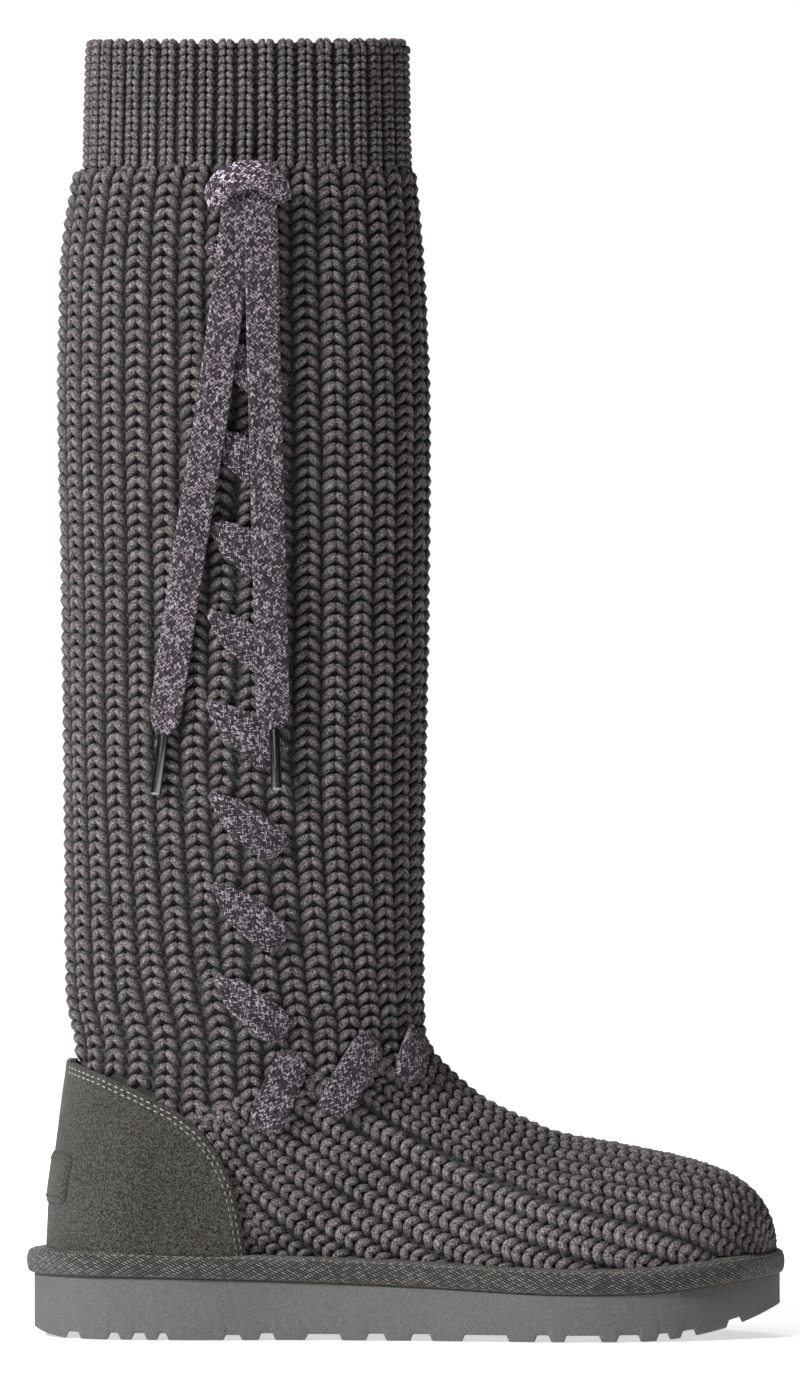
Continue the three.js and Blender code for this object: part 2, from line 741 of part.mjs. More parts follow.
// The place a short step away along the surface.
function placeBeside(place, step) {
  const small = { row: 0.05, turn: 0.002 };
  const here = surfaceAt(place, 0).point;
  const down = surfaceAt({ row: place.row + small.row, turn: place.turn }, 0).point.sub(here);
  const round = surfaceAt({ row: place.row, turn: place.turn + small.turn }, 0).point.sub(here);
  const [dd, rr, dr] = [down.dot(down), round.dot(round), down.dot(round)];
  const [ds, rs] = [down.dot(step), round.dot(step)];
  const whole = dd * rr - dr * dr;
  return {
    row: place.row + (small.row * (ds * rr - rs * dr)) / whole,
    turn: place.turn + (small.turn * (rs * dd - ds * dr)) / whole,
  };
}

// How far the underside of a lace is off the knit when it lies over other layers of lace.
const liftOver = (layers) => trimSeat + layers * (laceThickness + gap + laceSlack);

// A flat band laid on the knit along a route in the side view. Its width lies on the surface, across
// the route, and ends is how narrow it is at its two ends.
function band(route, side, width, thickness, ends) {
  const places = route.map((at) => placeAt(at.x, at.z, side));
  const rings = places.map((place, i) => {
    const before = surfaceAt(places[Math.max(i - 1, 0)], 0).point;
    const after = surfaceAt(places[Math.min(i + 1, places.length - 1)], 0).point;
    const way = after.sub(before).normalize();
    const across = way.cross(surfaceAt(place, 0).normal).normalize();
    const half = (width / 2) * (i === 0 || i === route.length - 1 ? ends : 1);
    const corner = (share, offset) =>
      surfaceAt(placeBeside(place, across.clone().multiplyScalar(half * share)), offset).point;
    const lift = liftOver(route[i].over);
    const under = [-1, 0, 1].map((share) => corner(share, lift));
    const over = [0.8, 0, -0.8].map((share) => corner(share, lift + thickness));
    return [...under, ...over];
  });
  const solid = solidOf(ringsGeometry(rings));
  return solid.volume() < 0 ? solidOf(ringsGeometry(rings.reverse())) : solid;
}

// A straight route on the knit between two points of the side view.
function straightRoute(from, to) {
  return Array.from({ length: stitchSteps + 1 }, (_, i) => ({
    x: THREE.MathUtils.lerp(from[0], to[0], i / stitchSteps),
    z: THREE.MathUtils.lerp(from[1], to[1], i / stitchSteps),
    over: 0,
  }));
}

const outerSide = -1;
const innerSide = 1;

function sideStitches() {
  const x = backEdge + stitchLine;
  return Array.from({ length: stitchCount }, (_, i) => {
    const z = lowestStitch + i * stitchPitch;
    const route = straightRoute([x, z], [x + stitchRun, z - stitchFall]);
    return band(route, outerSide, laceWidth, laceThickness, 0.75);
  });
}

function ankleStitches(side) {
  return ANKLE_STITCHES.map((row) => {
    const top = soleShare(row.top);
    const foot = soleShare(row.foot);
    const route = straightRoute([top.x, top.y], [foot.x, foot.y]);
    return band(route, side, laceWidth, laceThickness, 0.75);
  });
}

// A metal tip on a loose end: from the end of the route towards a point of the side view.
function aglet(route, tip) {
  const last = route[route.length - 1];
  const lift = liftOver(last.over) + agletDiameter / 2;
  const start = surfaceAt(placeAt(last.x, last.z, outerSide), lift).point;
  const end = surfaceAt(placeAt(tip.x, tip.z, outerSide), lift).point;
  const way = end.clone().sub(start).normalize();
  const geometry = new THREE.CylinderGeometry(agletDiameter / 2, agletDiameter / 2, agletLength, agletSides);
  geometry.applyQuaternion(new THREE.Quaternion().setFromUnitVectors(new THREE.Vector3(0, 1, 0), way));
  const middle = start.addScaledVector(way, gap + agletLength / 2);
  geometry.translate(middle.x, middle.y, middle.z);
  return solidOf(geometry);
}

const boot = new THREE.Group();
boot.position.x = soleShift;
boot.add(meshOf(makeOutsole(), "outsole", foamLook));
boot.add(meshOf(makeBinding(), "binding", bindingLook));
boot.add(meshOf(makeInsole(), "insole", woolLook));
boot.add(meshOf(makeUpper(), "upper", knitLook));
boot.add(meshOf(makeCounter(), "heel_counter", suedeLook));
boot.add(meshOf(makeLabel(), "heel_label", suedeLook));
sideStitches().forEach((s, i) => boot.add(meshOf(s, `lace_side_stitch_${i + 1}`, laceLook)));
ankleStitches(outerSide).forEach((s, i) => boot.add(meshOf(s, `lace_ankle_outer_${i + 1}`, laceLook)));
ankleStitches(innerSide).forEach((s, i) => boot.add(meshOf(s, `lace_ankle_inner_${i + 1}`, laceLook)));
boot.add(meshOf(band(KNOT_ROUTE, outerSide, laceWidth, laceThickness, 1), "lace_knot", laceLook));
for (const [name, route, tip] of [
  ["back", BACK_END_ROUTE, BACK_AGLET],
  ["front", FRONT_END_ROUTE, FRONT_AGLET],
]) {
  boot.add(meshOf(band(route, outerSide, laceWidth, laceThickness, 0.6), `lace_end_${name}`, laceLook));
  boot.add(meshOf(aglet(route, tip), `aglet_${name}`, metalLook));
}

export default boot;
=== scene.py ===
"""Looks of the knitted boot: a right boot, toe towards +X, outer side towards -Y, +Z up.

Lengths in the tables and helpers are millimetres from the middle of the sole, as in the part's source.
put() turns them into the row frame's metres. A place on the upper is a row, counted from the collar
through its sections to the toe, and a turn, a share of the way round from the front over the outer side.
"""
import functools
import math
import bmesh
import bpy
import numpy as np
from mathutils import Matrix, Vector


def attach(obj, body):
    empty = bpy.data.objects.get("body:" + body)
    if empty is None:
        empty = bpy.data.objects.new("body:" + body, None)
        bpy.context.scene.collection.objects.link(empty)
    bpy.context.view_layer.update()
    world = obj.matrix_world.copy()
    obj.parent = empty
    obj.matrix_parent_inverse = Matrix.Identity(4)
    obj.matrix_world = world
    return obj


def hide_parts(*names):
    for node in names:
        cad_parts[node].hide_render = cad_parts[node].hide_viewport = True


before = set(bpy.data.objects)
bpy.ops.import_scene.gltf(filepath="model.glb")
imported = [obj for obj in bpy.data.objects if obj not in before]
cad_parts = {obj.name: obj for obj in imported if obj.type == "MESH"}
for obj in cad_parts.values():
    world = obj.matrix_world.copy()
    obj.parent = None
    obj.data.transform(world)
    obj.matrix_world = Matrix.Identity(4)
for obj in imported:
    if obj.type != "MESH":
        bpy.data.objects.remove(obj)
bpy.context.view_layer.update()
RNG = np.random.default_rng(11)

# Named sizes of the boot
SOLE_LENGTH = 268.0
BALL_WIDTH = 102.0
HEEL_HEIGHT = 22.4
BALL_HEIGHT = 16.9
TOE_TOP = 22.1
TOE_SPRING = 10.9
HEEL_BEVEL = 3.0
GROOVE_DEPTH = 2.4
BOOT_HEIGHT = 464.0
INSTEP_HEIGHT = 102.0
LEVEL_RISE = 32.0
LEG_SETBACK = 75.6
SHAFT_LENGTH = 134.4
SHAFT_BREADTH = 92.0
ANKLE_BREADTH = 81.0
CUFF_LENGTH = 119.0
CUFF_BREADTH = 86.0
CUFF_HEIGHT = 46.0
CUFF_STEP = 1.4
KNIT_WALL = 4.5
HEEL_INSET = 4.6
SIDE_INSET = 3.6
TOE_INSET = 1.4
HEEL_OVERHANG = 2.6
TOE_OVERHANG = 1.6
BINDING_HEIGHT = 8.6
BINDING_REST = 0.3  # of the tape over the foam
COUNTER_THICKNESS = 1.6
COUNTER_LIFT = 0.35  # off the knit
COUNTER_BASE = 29.8
COUNTER_TOP = 98.8
COUNTER_BACK = -119.5  # x of its edge, at most so far back
LABEL_WIDTH = 44.0
LABEL_HEIGHT = 18.0
LABEL_CENTRE = 56.5
LABEL_CORNER = 2.4
LABEL_THICKNESS = 1.0
LACE_WIDTH = 12.0
LACE_THICKNESS = 2.0
LACE_LAYER = 2.5
LACE_LIFT = 0.4  # off the knit
AGLET_LENGTH = 22.0
AGLET_DIAMETER = 3.8

# Knit: columns of stitches round the leg and the cuff, and the rise of one stitch
WALES = 34
WALE_PHASE = 0.26
CUFF_WALES = 44
LEG_STITCH = 4.37
FOOT_STITCH = 4.2
CUFF_STITCH = 2.7
CUFF_RIM = 2.7  # radius of the fold at its top

BACK_EDGE = -SOLE_LENGTH / 2
LEG_CENTRE = BACK_EDGE + LEG_SETBACK
LEVEL_HEIGHT = INSTEP_HEIGHT + LEVEL_RISE
CUFF_BASE = BOOT_HEIGHT - CUFF_HEIGHT
SOLE_SHIFT = (HEEL_OVERHANG - TOE_OVERHANG) / 2
BALL_AT = 0.731  # where the foam is lowest, as a share of the sole's length
FOOT_SHARE = np.array((SOLE_LENGTH / 2, INSTEP_HEIGHT))  # what shares of x and z on the foot are of

# The photograph: its size, the middle of the sole and the floor in pixels, and the millimetres in a pixel
PHOTO_WIDTH = 800
PHOTO_HEIGHT = 1377
PHOTO_MIDDLE = 406
PHOTO_FLOOR = 1334.5
PHOTO_SCALE = 0.3588

# Plan of the sole from the back round the outer side: shares of its length and of its half width.
SOLE_PLAN = np.array([
    # along, across
    (0.0, 0.0), (0.022, -0.34), (0.082, -0.63), (0.2, -0.755), (0.36, -0.745), (0.52, -0.84),
    (0.68, -0.985), (0.78, -0.985), (0.875, -0.83), (0.955, -0.48), (1.0, 0.1), (0.972, 0.56),
    (0.91, 0.84), (0.82, 0.98), (0.73, 0.99), (0.6, 0.87), (0.44, 0.72), (0.3, 0.7),
    (0.17, 0.73), (0.075, 0.62), (0.02, 0.33),
])
# Top of the foam: share of the heel's or the toe's extra height over the ball.
SOLE_TOP = np.array([
    # along, top
    (-0.05, 1.0), (0.145, 1.0), (0.325, 0.78), (0.507, 0.46), (0.627, 0.14), (0.731, 0.0),
    (0.832, 0.12), (0.9, 0.45), (0.945, 0.72), (1.05, 1.08),
])
HEEL_CURVE = np.array([(0.0, 1.0), (0.018, 0.38), (0.045, 0.0)])  # along, rise
TOE_CURVE = np.array([(0.82, 0.0), (0.866, 0.1), (0.906, 0.27), (0.946, 0.52), (1.0, 1.0)])
GROOVES = [  # from, to, as shares of the sole's length, and share of the full depth
    (0.046, 0.064, 1.0), (0.102, 0.117, 1.0), (0.134, 0.152, 1.0), (0.168, 0.181, 1.0),
    (0.256, 0.279, 0.75), (0.303, 0.323, 1.0), (0.365, 0.412, 0.9), (0.446, 0.471, 1.0),
    (0.505, 0.532, 1.0), (0.574, 0.634, 0.95), (0.67, 0.69, 1.0), (0.709, 0.757, 0.95),
    (0.779, 0.809, 1.0), (0.832, 0.848, 1.0), (0.864, 0.883, 1.0), (0.926, 0.945, 1.0),
]
# Level sections: height, front and back as shares of half the length, half as a share of half the breadth.
CUFF = [
    (1.0, 0.958, -0.935, 0.955),
    (0.95, 1.006, -0.972, 0.985),
    (0.03, 1.02, -0.99, 1.0),
]
SHAFT = [
    (1.0, 0.922, -0.914, 0.945),
    (0.964, 0.943, -0.952, 0.972),
    (0.9, 0.967, -0.991, 0.99),
    (0.78, 0.9955, -1.0104, 1.0),
    (0.45, 1.0, -0.9926, 0.995),
    (0.102, 0.973, -0.976, 0.965),
    (0.0, 0.973, -0.973, 0.945),
]
# front (x, z), back (x, z), half
THROAT = [
    ((0.974, 0.76), (-0.968, 0.58), 1.05),
    ((0.978, 0.44), (-0.922, 0.03), 1.02),
]
# front (x, z), back (x, z), half, widest, power at the front, power at the back
HEEL = [
    ((0.06, 1.05), (-0.913, 0.82), 1.0, 0.5, 2.0, 2.1),
    ((0.0784, 1.0), (-0.932, 0.628), 0.99, 0.52, 2.0, 2.2),
    ((0.102, 0.966), (-0.95, 0.412), 0.98, 0.54, 2.0, 2.35),
    ((0.129, 0.931), (-0.938, 0.17), 0.965, 0.56, 2.0, 2.5),
    ((0.166, 0.887), (-0.85, 0.03), 0.945, 0.58, 2.0, 2.8),
]
# front (x, z), back (x, z), widest, power at the front, power at the back
FOOT = [
    ((0.216, 0.839), (-0.69, -0.02), 0.6, 2.0, 3.0),
    ((0.283, 0.794), (-0.49, -0.03), 0.62, 2.0, 3.0),
    ((0.373, 0.739), (-0.275, -0.03), 0.63, 2.0, 2.8),
    ((0.582, 0.678), (0.155, -0.03), 0.65, 2.1, 2.6),
    ((0.78, 0.617), (0.515, -0.03), 0.66, 2.2, 2.4),
    ((0.858, 0.579), (0.64, -0.03), 0.66, 2.2, 2.3),
    ((0.918, 0.53), (0.74, -0.03), 0.64, 2.2, 2.2),
    ((0.962, 0.466), (0.81, -0.02), 0.62, 2.2, 2.2),
    ((0.989, 0.39), (0.86, 0.0), 0.6, 2.2, 2.2),
    ((0.997, 0.31), (0.893, 0.02), 0.55, 2.2, 2.2),
]
TOE_END = [  # front (x, z), back (x, z), half as a share of the last foot section's
    ((0.99, 0.225), (0.915, 0.045), 0.34),
    ((0.97, 0.15), (0.935, 0.07), 0.16),
]
# Front edge of the heel counter: shares of half the sole's length and of the instep's height.
COUNTER_EDGE = np.array([
    (-0.425, 0.12), (-0.43, 0.3), (-0.443, 0.42), (-0.463, 0.54), (-0.5, 0.645), (-0.548, 0.73),
    (-0.618, 0.805), (-0.72, 0.872), (-0.815, 0.925), (-0.91, 0.967), (-1.1, 1.0),
]) * FOOT_SHARE
# Stitches of the lace over the ankle: upper and lower end, in shares of the same two sizes.
ANKLE_STITCHES = [
    ((-0.305, 0.985), (-0.382, 0.75)),
    ((-0.1, 1.045), (-0.2, 0.815)),
    ((0.025, 1.065), (0.0, 0.925)),
]
# Side stitches of the lace: upper and lower end, x and z.
SIDE_STITCHES = [
    (-66.5 - min(i, 3), 128.4 + 32.6 * i, -45.5 - 0.6 * min(i, 3), 110.6 + 32.6 * i) for i in range(9)
]
# Routes of the knot and the loose ends: x, z and how many layers of lace they lie over.
KNOT_ROUTE = np.array([
    (-65.8, 403.6, 0.8), (-66.9, 408.0, 1.8), (-63.8, 411.8, 3.0), (-58.0, 413.8, 3.7),
    (-52.0, 413.2, 3.7), (-47.6, 410.4, 2.8), (-46.2, 406.2, 1.2),
])
BACK_END_ROUTE = np.array([
    (-58.8, 415.0, 1.9), (-59.8, 404, 1.2), (-61.4, 390, 1), (-63.8, 370, 1), (-66.8, 348, 1),
    (-69.8, 326, 1), (-73.2, 304, 1), (-76.6, 283, 1), (-79.8, 262, 0.48), (-82.8, 243, 0),
    (-85.0, 228, 0), (-86.6, 215.5, 0),
])
FRONT_END_ROUTE = np.array([
    (-54.0, 415.0, 2.5), (-52.8, 404.5, 2.1), (-52.2, 390, 1.96), (-51.9, 372, 1.84), (-51.4, 352, 1.2),
    (-50.8, 330, 1), (-50.2, 306, 1), (-49.6, 282, 1), (-49.0, 260, 1), (-48.6, 240, 1), (-48.2, 226, 1),
    (-47.8, 217.5, 1),
])
# Width of a stitch of the lace from its upper end: share of the way, share of the lace's width
SIDE_STITCH_SHAPE = np.array([(0.0, 0.3), (0.12, 0.62), (0.28, 0.95), (0.45, 1.08), (0.9, 1.1), (1.0, 0.95)])
ANKLE_STITCH_SHAPE = np.array([(0.0, 0.82), (0.12, 1.05), (0.9, 1.05), (1.0, 0.86)])
BACK_AGLET = (-89.0, 193.5)
FRONT_AGLET = (-47.0, 195.5)


# Meshes

def put(points):
    """Millimetres from the middle of the sole, as metres in the row frame."""
    out = np.array(points, float).reshape(-1, 3)
    out[:, 0] += SOLE_SHIFT
    return out * 0.001


def mesh_object(name, points, faces, material, replaces=(), uv=None, shade=None):
    """A piece from points in millimetres and arrays of faces. uv and shade are given per point."""
    mesh = bpy.data.meshes.new(name)
    points = put(points).astype(np.float32)
    loops = np.concatenate([part.ravel() for part in faces]).astype(np.int32)
    sizes = np.concatenate([np.full(len(part), part.shape[1]) for part in faces]).astype(np.int32)
    mesh.vertices.add(len(points))
    mesh.vertices.foreach_set("co", points.ravel())
    mesh.loops.add(len(loops))
    mesh.loops.foreach_set("vertex_index", loops)
    mesh.polygons.add(len(sizes))
    mesh.polygons.foreach_set("loop_start", (np.cumsum(sizes) - sizes).astype(np.int32))
    mesh.polygons.foreach_set("use_smooth", np.full(len(sizes), True))
    if uv is not None:
        layer = mesh.uv_layers.new(name="Yarn")
        layer.data.foreach_set("uv", np.asarray(uv, np.float32)[loops].ravel())
    if shade is not None:
        attribute = mesh.attributes.new("shade", "FLOAT", "POINT")
        attribute.data.foreach_set("value", np.asarray(shade, np.float32))
    mesh.update(calc_edges=True)
    mesh.validate()
    mesh.materials.append(material)
    piece = bpy.data.objects.new(name, mesh)
    bpy.context.scene.collection.objects.link(piece)
    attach(piece, "root")
    if replaces:
        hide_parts(*replaces)
    return piece


def grid_faces(rings, count, closed=True, looped=False):
    """Faces between rings of equally many points. A looped grid joins its last ring to its first."""
    i, j = np.meshgrid(np.arange(rings if looped else rings - 1), np.arange(count if closed else count - 1),
                       indexing="ij")
    below, beside = (i + 1) % rings, (j + 1) % count
    corners = i * count + j, i * count + beside, below * count + beside, below * count + j
    return np.stack(corners, -1).reshape(-1, 4)


def body(name, points, faces, material, replaces, slot, sharp=None, uv=None):
    """A closed piece with its faces turned outwards, creased where they meet at more than sharp degrees."""
    piece = mesh_object(name, points, faces, material, replaces, uv)
    bm = bmesh.new()
    bm.from_mesh(piece.data)
    bmesh.ops.recalc_face_normals(bm, faces=bm.faces)
    bm.to_mesh(piece.data)
    bm.free()
    if sharp is not None:
        piece.data.set_sharp_from_angle(angle=math.radians(sharp))
    return piece


def tube(name, rings, material, replaces, slot, caps=(0, -1), **more):
    """A body through closed rings of points, with a face over each ring named in caps."""
    index = np.arange(rings[..., 0].size).reshape(rings.shape[:2])
    faces = [grid_faces(*index.shape)] + [index[cap][None] for cap in caps]
    return body(name, rings, faces, material, replaces, slot, **more)


def shell(name, skin, under, material, replaces, slot):
    """A body between two grids of equally many points."""
    rings = np.concatenate([skin, under[::-1]])
    index = np.arange(rings[..., 0].size).reshape(rings.shape[:2])
    faces = [grid_faces(*index.shape, closed=False, looped=True)]
    for side in (index[:, 0], index[:, -1]):
        over, below = side[:len(skin)], side[len(skin):][::-1]
        faces.append(np.stack([over[:-1], over[1:], below[1:], below[:-1]], 1))
    return body(name, rings, faces, material, replaces, slot)


# Materials

class Look:
    """A node material, built by naming nodes and linking their sockets."""

    def __init__(self, name):
        self.material = bpy.data.materials.new(name)
        self.material.use_nodes = True
        self.tree = self.material.node_tree
        self.tree.nodes.clear()
        out = self.tree.nodes.new("ShaderNodeOutputMaterial")
        self.skin = self.tree.nodes.new("ShaderNodeBsdfPrincipled")
        self.tree.links.new(self.skin.outputs[0], out.inputs[0])

    def add(self, kind, inputs=None, **settings):
        node = self.tree.nodes.new("ShaderNode" + kind)
        for key, value in settings.items():
            setattr(node, key, value)
        for key, value in (inputs or {}).items():
            self.feed(node.inputs[key], value)
        return node

    def feed(self, socket, value):
        if isinstance(value, bpy.types.NodeSocket):
            self.tree.links.new(value, socket)
        else:
            socket.default_value = value

    def math(self, operation, *values):
        return self.add("Math", dict(enumerate(values)), operation=operation).outputs[0]

    def times(self, a, b):
        return self.math("MULTIPLY", a, b)

    def blend(self, a, share, b):
        """The first value, with the second in place of its share."""
        return self.math("ADD", self.times(a, 1 - share), self.times(b, share))

    def wave(self, value, power=1.0):
        """A ridge from 0 to 1 and back for each whole step of a value."""
        ridge = self.math("SINE", self.times(self.math("FRACT", value), math.pi))
        return self.math("POWER", ridge, power)

    def uv(self, scale=(1, 1, 1)):
        uv = self.add("UVMap", uv_map="Yarn").outputs[0]
        return self.add("Mapping", {"Vector": uv, "Scale": scale}).outputs[0]

    def place(self, scale=(1000, 1000, 1000)):
        """Object coordinates in millimetres."""
        coordinates = self.add("TexCoord").outputs["Object"]
        return self.add("Mapping", {"Vector": coordinates, "Scale": scale}).outputs[0]

    def noise(self, vector, scale, detail=2.0, roughness=0.5):
        node = self.add("TexNoise", {
            "Vector": vector, "Scale": scale, "Detail": detail, "Roughness": roughness
        })
        return node.outputs["Fac"]

    def lots(self, *cells):
        """A chance value for each cell."""
        spot = self.add("CombineXYZ", dict(enumerate(cells))).outputs[0]
        return self.add("TexWhiteNoise", {"Vector": spot}, noise_dimensions="3D").outputs["Value"]

    def ramp(self, value, *stops):
        node = self.add("ValToRGB", {"Fac": value})
        while len(node.color_ramp.elements) < len(stops):
            node.color_ramp.elements.new(0.5)
        for element, (place, colour) in zip(node.color_ramp.elements, stops):
            element.position = place
            element.color = (*colour, 1)
        return node.outputs[0]

    def mix(self, share, a, b, blend="MIX"):
        node = self.add("Mix", data_type="RGBA", blend_type=blend, clamp_factor=True)
        self.feed(node.inputs["Factor"], share)
        for key, value in ((6, a), (7, b)):
            self.feed(node.inputs[key], (*value, 1) if isinstance(value, tuple) else value)
        return node.outputs[2]

    def dim(self, colour, level):
        """A colour times a level."""
        grey = self.add("CombineXYZ", {0: level, 1: level, 2: level}).outputs[0]
        return self.mix(1.0, colour, grey, "MULTIPLY")

    def span(self, value, low, high, to_low, to_high):
        return self.add("MapRange", {"Value": value, "From Min": low, "From Max": high,
                                     "To Min": to_low, "To Max": to_high}).outputs[0]

    def finish(self, colour, roughness, height=None, strength=0.5, distance=0.0005, **constants):
        self.feed(self.skin.inputs["Base Color"], colour)
        self.feed(self.skin.inputs["Roughness"], roughness)
        if height is not None:
            bump = self.add("Bump", {"Height": height, "Strength": strength, "Distance": distance})
            self.feed(self.skin.inputs["Normal"], bump.outputs[0])
        for key, value in constants.items():
            self.skin.inputs[key.replace("_", " ")].default_value = value
        return self.material


def yarn_look(name, light, dark, fleck):
    """Plump spun yarn: fine fibres along it, small dark flecks, painted highlights on bright specks, and its
    tone a little different by stitch, times the painted shade that each stitch carries.
    """
    look = Look(name)
    fibres = look.noise(look.uv((0.5, 3.4, 1)), 1.0, 3.0, 0.7)
    twist = look.noise(look.uv((1.3, 2.0, 1)), 1.3, 2.0, 0.6)
    flecks = look.noise(look.place(), 1.5, 2.0, 0.85)
    patches = look.noise(look.place(), 0.045, 2.0)
    # The shade attribute: painted shade by each point's depth in the knit, times each stitch's own tone.
    shade = look.add("Attribute", attribute_name="shade").outputs["Fac"]
    tone = look.blend(fibres, 0.35, twist)
    colour = look.mix(look.span(tone, 0.38, 0.62, 0.0, 1.0), dark, light)
    colour = look.mix(look.span(flecks, 0.4, 0.49, 0.92, 0.0), colour, fleck)
    # Painted highlights: bright specks up to 2.2 times the colour.
    glints = look.span(flecks, 0.52, 0.62, 1.0, 2.2)
    level = look.times(look.times(look.span(patches, 0.3, 0.7, 0.93, 1.07), shade), glints)
    height = look.times(look.math("ADD", fibres, flecks), 0.6)
    return look.finish(look.dim(colour, level), 0.92, height, 0.9, 0.0007, Sheen_Weight=0.1,
                       Sheen_Roughness=0.5, Specular_IOR_Level=0.2)


def braid_look(name, painted_light_gain=1.0):
    """Flat braid of mottled light and dark yarns: short dashes laid in fine chevrons, with painted shade in
    the gaps between them. Its second argument brightens the whole braid as painted light.
    """
    look = Look(name)
    uv = look.add("SeparateXYZ", {0: look.uv()})
    along, across = uv.outputs[0], uv.outputs[1]
    strand, rise = 0.86, 0.5
    slant = look.math("DIVIDE", look.math("ADD", along, look.math("PINGPONG", across, strand)), rise)
    column = look.math("DIVIDE", across, strand)
    lots = look.lots(look.math("FLOOR", slant), look.math("FLOOR", column), 3.0)
    clouds = look.noise(look.uv((0.35, 0.5, 1)), 1.0, 2.0, 0.6)
    fuzz = look.noise(look.uv((2.6, 2.6, 1)), 1.0, 2.0, 0.6)
    pick = look.math("ADD", look.blend(lots, 0.2, clouds), look.span(fuzz, 0.3, 0.7, -0.1, 0.1))
    colour = look.ramp(pick, (0.25, (0.005, 0.003, 0.005)), (0.48, (0.026, 0.017, 0.026)),
                       (0.66, (0.1, 0.075, 0.098)), (0.86, (0.47, 0.4, 0.46)))
    # Painted shade: the colour darkens where form is low, in the gaps between dashes.
    form = look.times(look.wave(slant, 0.6), look.wave(column, 0.4))
    colour = look.dim(colour, look.span(form, 0.0, 0.75, 0.12 * painted_light_gain, painted_light_gain))
    height = look.math("ADD", form, look.times(fuzz, 0.3))
    return look.finish(colour, 0.85, height, 0.8, 0.0004, Sheen_Weight=0.1, Sheen_Roughness=0.5,
                       Specular_IOR_Level=0.3)


def twill_look(name):
    """Narrow tape in a steep twill: pale threads over a dark ground."""
    look = Look(name)
    uv = look.add("SeparateXYZ", {0: look.uv()})
    along, across = uv.outputs[0], uv.outputs[1]
    slant = look.math("SUBTRACT", look.times(along, 0.5), across)
    row = look.math("FLOOR", slant)
    thread = look.math("DIVIDE", look.math("ADD", along, look.times(row, 0.8)), 1.8)
    lots = look.lots(row, look.math("FLOOR", thread))
    form = look.times(look.wave(slant, 1.2), look.wave(thread, 0.25))
    pick = look.times(form, look.span(lots, 0.0, 1.0, 0.65, 1.0))
    colour = look.ramp(pick, (0.25, (0.003, 0.003, 0.0026)), (0.6, (0.042, 0.0405, 0.036)),
                       (0.95, (0.26, 0.252, 0.227)))
    return look.finish(colour, 0.7, form, 0.9, 0.0006, Sheen_Weight=0.1, Specular_IOR_Level=0.35)


def suede_look(name, light, dark):
    """Suede with a short pebbly nap."""
    look = Look(name)
    nap = look.noise(look.place(), 2.2, 2.0, 0.7)
    tufts = look.noise(look.place(), 1.0, 2.0, 0.6)
    brushed = look.noise(look.place((60, 60, 35)), 1.0, 2.0)
    tone = look.blend(nap, 0.3, tufts)
    colour = look.mix(look.span(tone, 0.43, 0.58, 0.0, 1.0), dark, light)
    colour = look.dim(colour, look.span(brushed, 0.3, 0.7, 0.86, 1.12))
    return look.finish(colour, 0.95, tone, 0.9, 0.0009, Sheen_Weight=0.15, Sheen_Roughness=0.4,
                       Specular_IOR_Level=0.15)


def foam_look(name):
    """Moulded foam: matt, with fine pale and dark specks."""
    look = Look(name)
    specks = look.noise(look.place(), 1.6, 2.0, 0.7)
    mottle = look.noise(look.place(), 0.12, 3.0)
    grain = look.noise(look.place(), 3.2, 1.0)
    colour = look.ramp(specks, (0.3, (0.066, 0.0638, 0.0647)), (0.5, (0.093, 0.0902, 0.0916)),
                       (0.72, (0.124, 0.12, 0.122)))
    colour = look.dim(colour, look.span(mottle, 0.3, 0.7, 0.98, 1.02))
    return look.finish(colour, look.span(specks, 0.3, 0.7, 0.7, 0.82), grain, 0.18, 0.0003,
                       Specular_IOR_Level=0.3)


def thread_look(name, colour):
    """Twisted thread, darker low on the boot as painted shade."""
    look = Look(name)
    twist = look.noise(look.place(), 2.4, 2.0)
    height = look.add("SeparateXYZ", {0: look.place()}).outputs[2]
    tone = look.mix(look.span(twist, 0.3, 0.7, 0.0, 1.0), tuple(c * 0.5 for c in colour), colour)
    # Painted shade: full tone at 95 mm, falling to 0.4 at 35 mm and below.
    tone = look.dim(tone, look.span(height, 35.0, 95.0, 0.4, 1.0))
    return look.finish(tone, 0.8, twist, 0.4, 0.0002, Specular_IOR_Level=0.3)


def metal_look(name):
    """Dark plated metal with fine lengthwise rubbing."""
    look = Look(name)
    rub = look.noise(look.place((3000, 3000, 120)), 1.0, 2.0)
    colour = look.mix(rub, (0.12, 0.117, 0.125), (0.26, 0.253, 0.262))
    return look.finish(colour, look.span(rub, 0.3, 0.7, 0.13, 0.22), rub, 0.05, 0.0001, Metallic=1.0)


def wool_look(name, light, dark):
    """Short wool pile."""
    look = Look(name)
    curls = look.noise(look.place(), 0.5, 3.0, 0.6)
    hairs = look.noise(look.place(), 2.2, 2.0)
    tone = look.blend(curls, 0.4, hairs)
    colour = look.mix(look.span(tone, 0.35, 0.65, 0.0, 1.0), dark, light)
    return look.finish(colour, 0.95, tone, 0.9, 0.0015, Sheen_Weight=0.3, Specular_IOR_Level=0.1)


YARN = yarn_look("knit_yarn", (0.27, 0.235, 0.239), (0.109, 0.094, 0.096), (0.012, 0.011, 0.011))
# Painted shadow: the knit's ground is near-black yarn that stands for the shade in the gaps between stitches.
SHADOW_YARN = yarn_look("knit_ground", (0.045, 0.042, 0.042), (0.02, 0.019, 0.019), (0.008, 0.008, 0.008))
BRAID = braid_look("lace_braid")
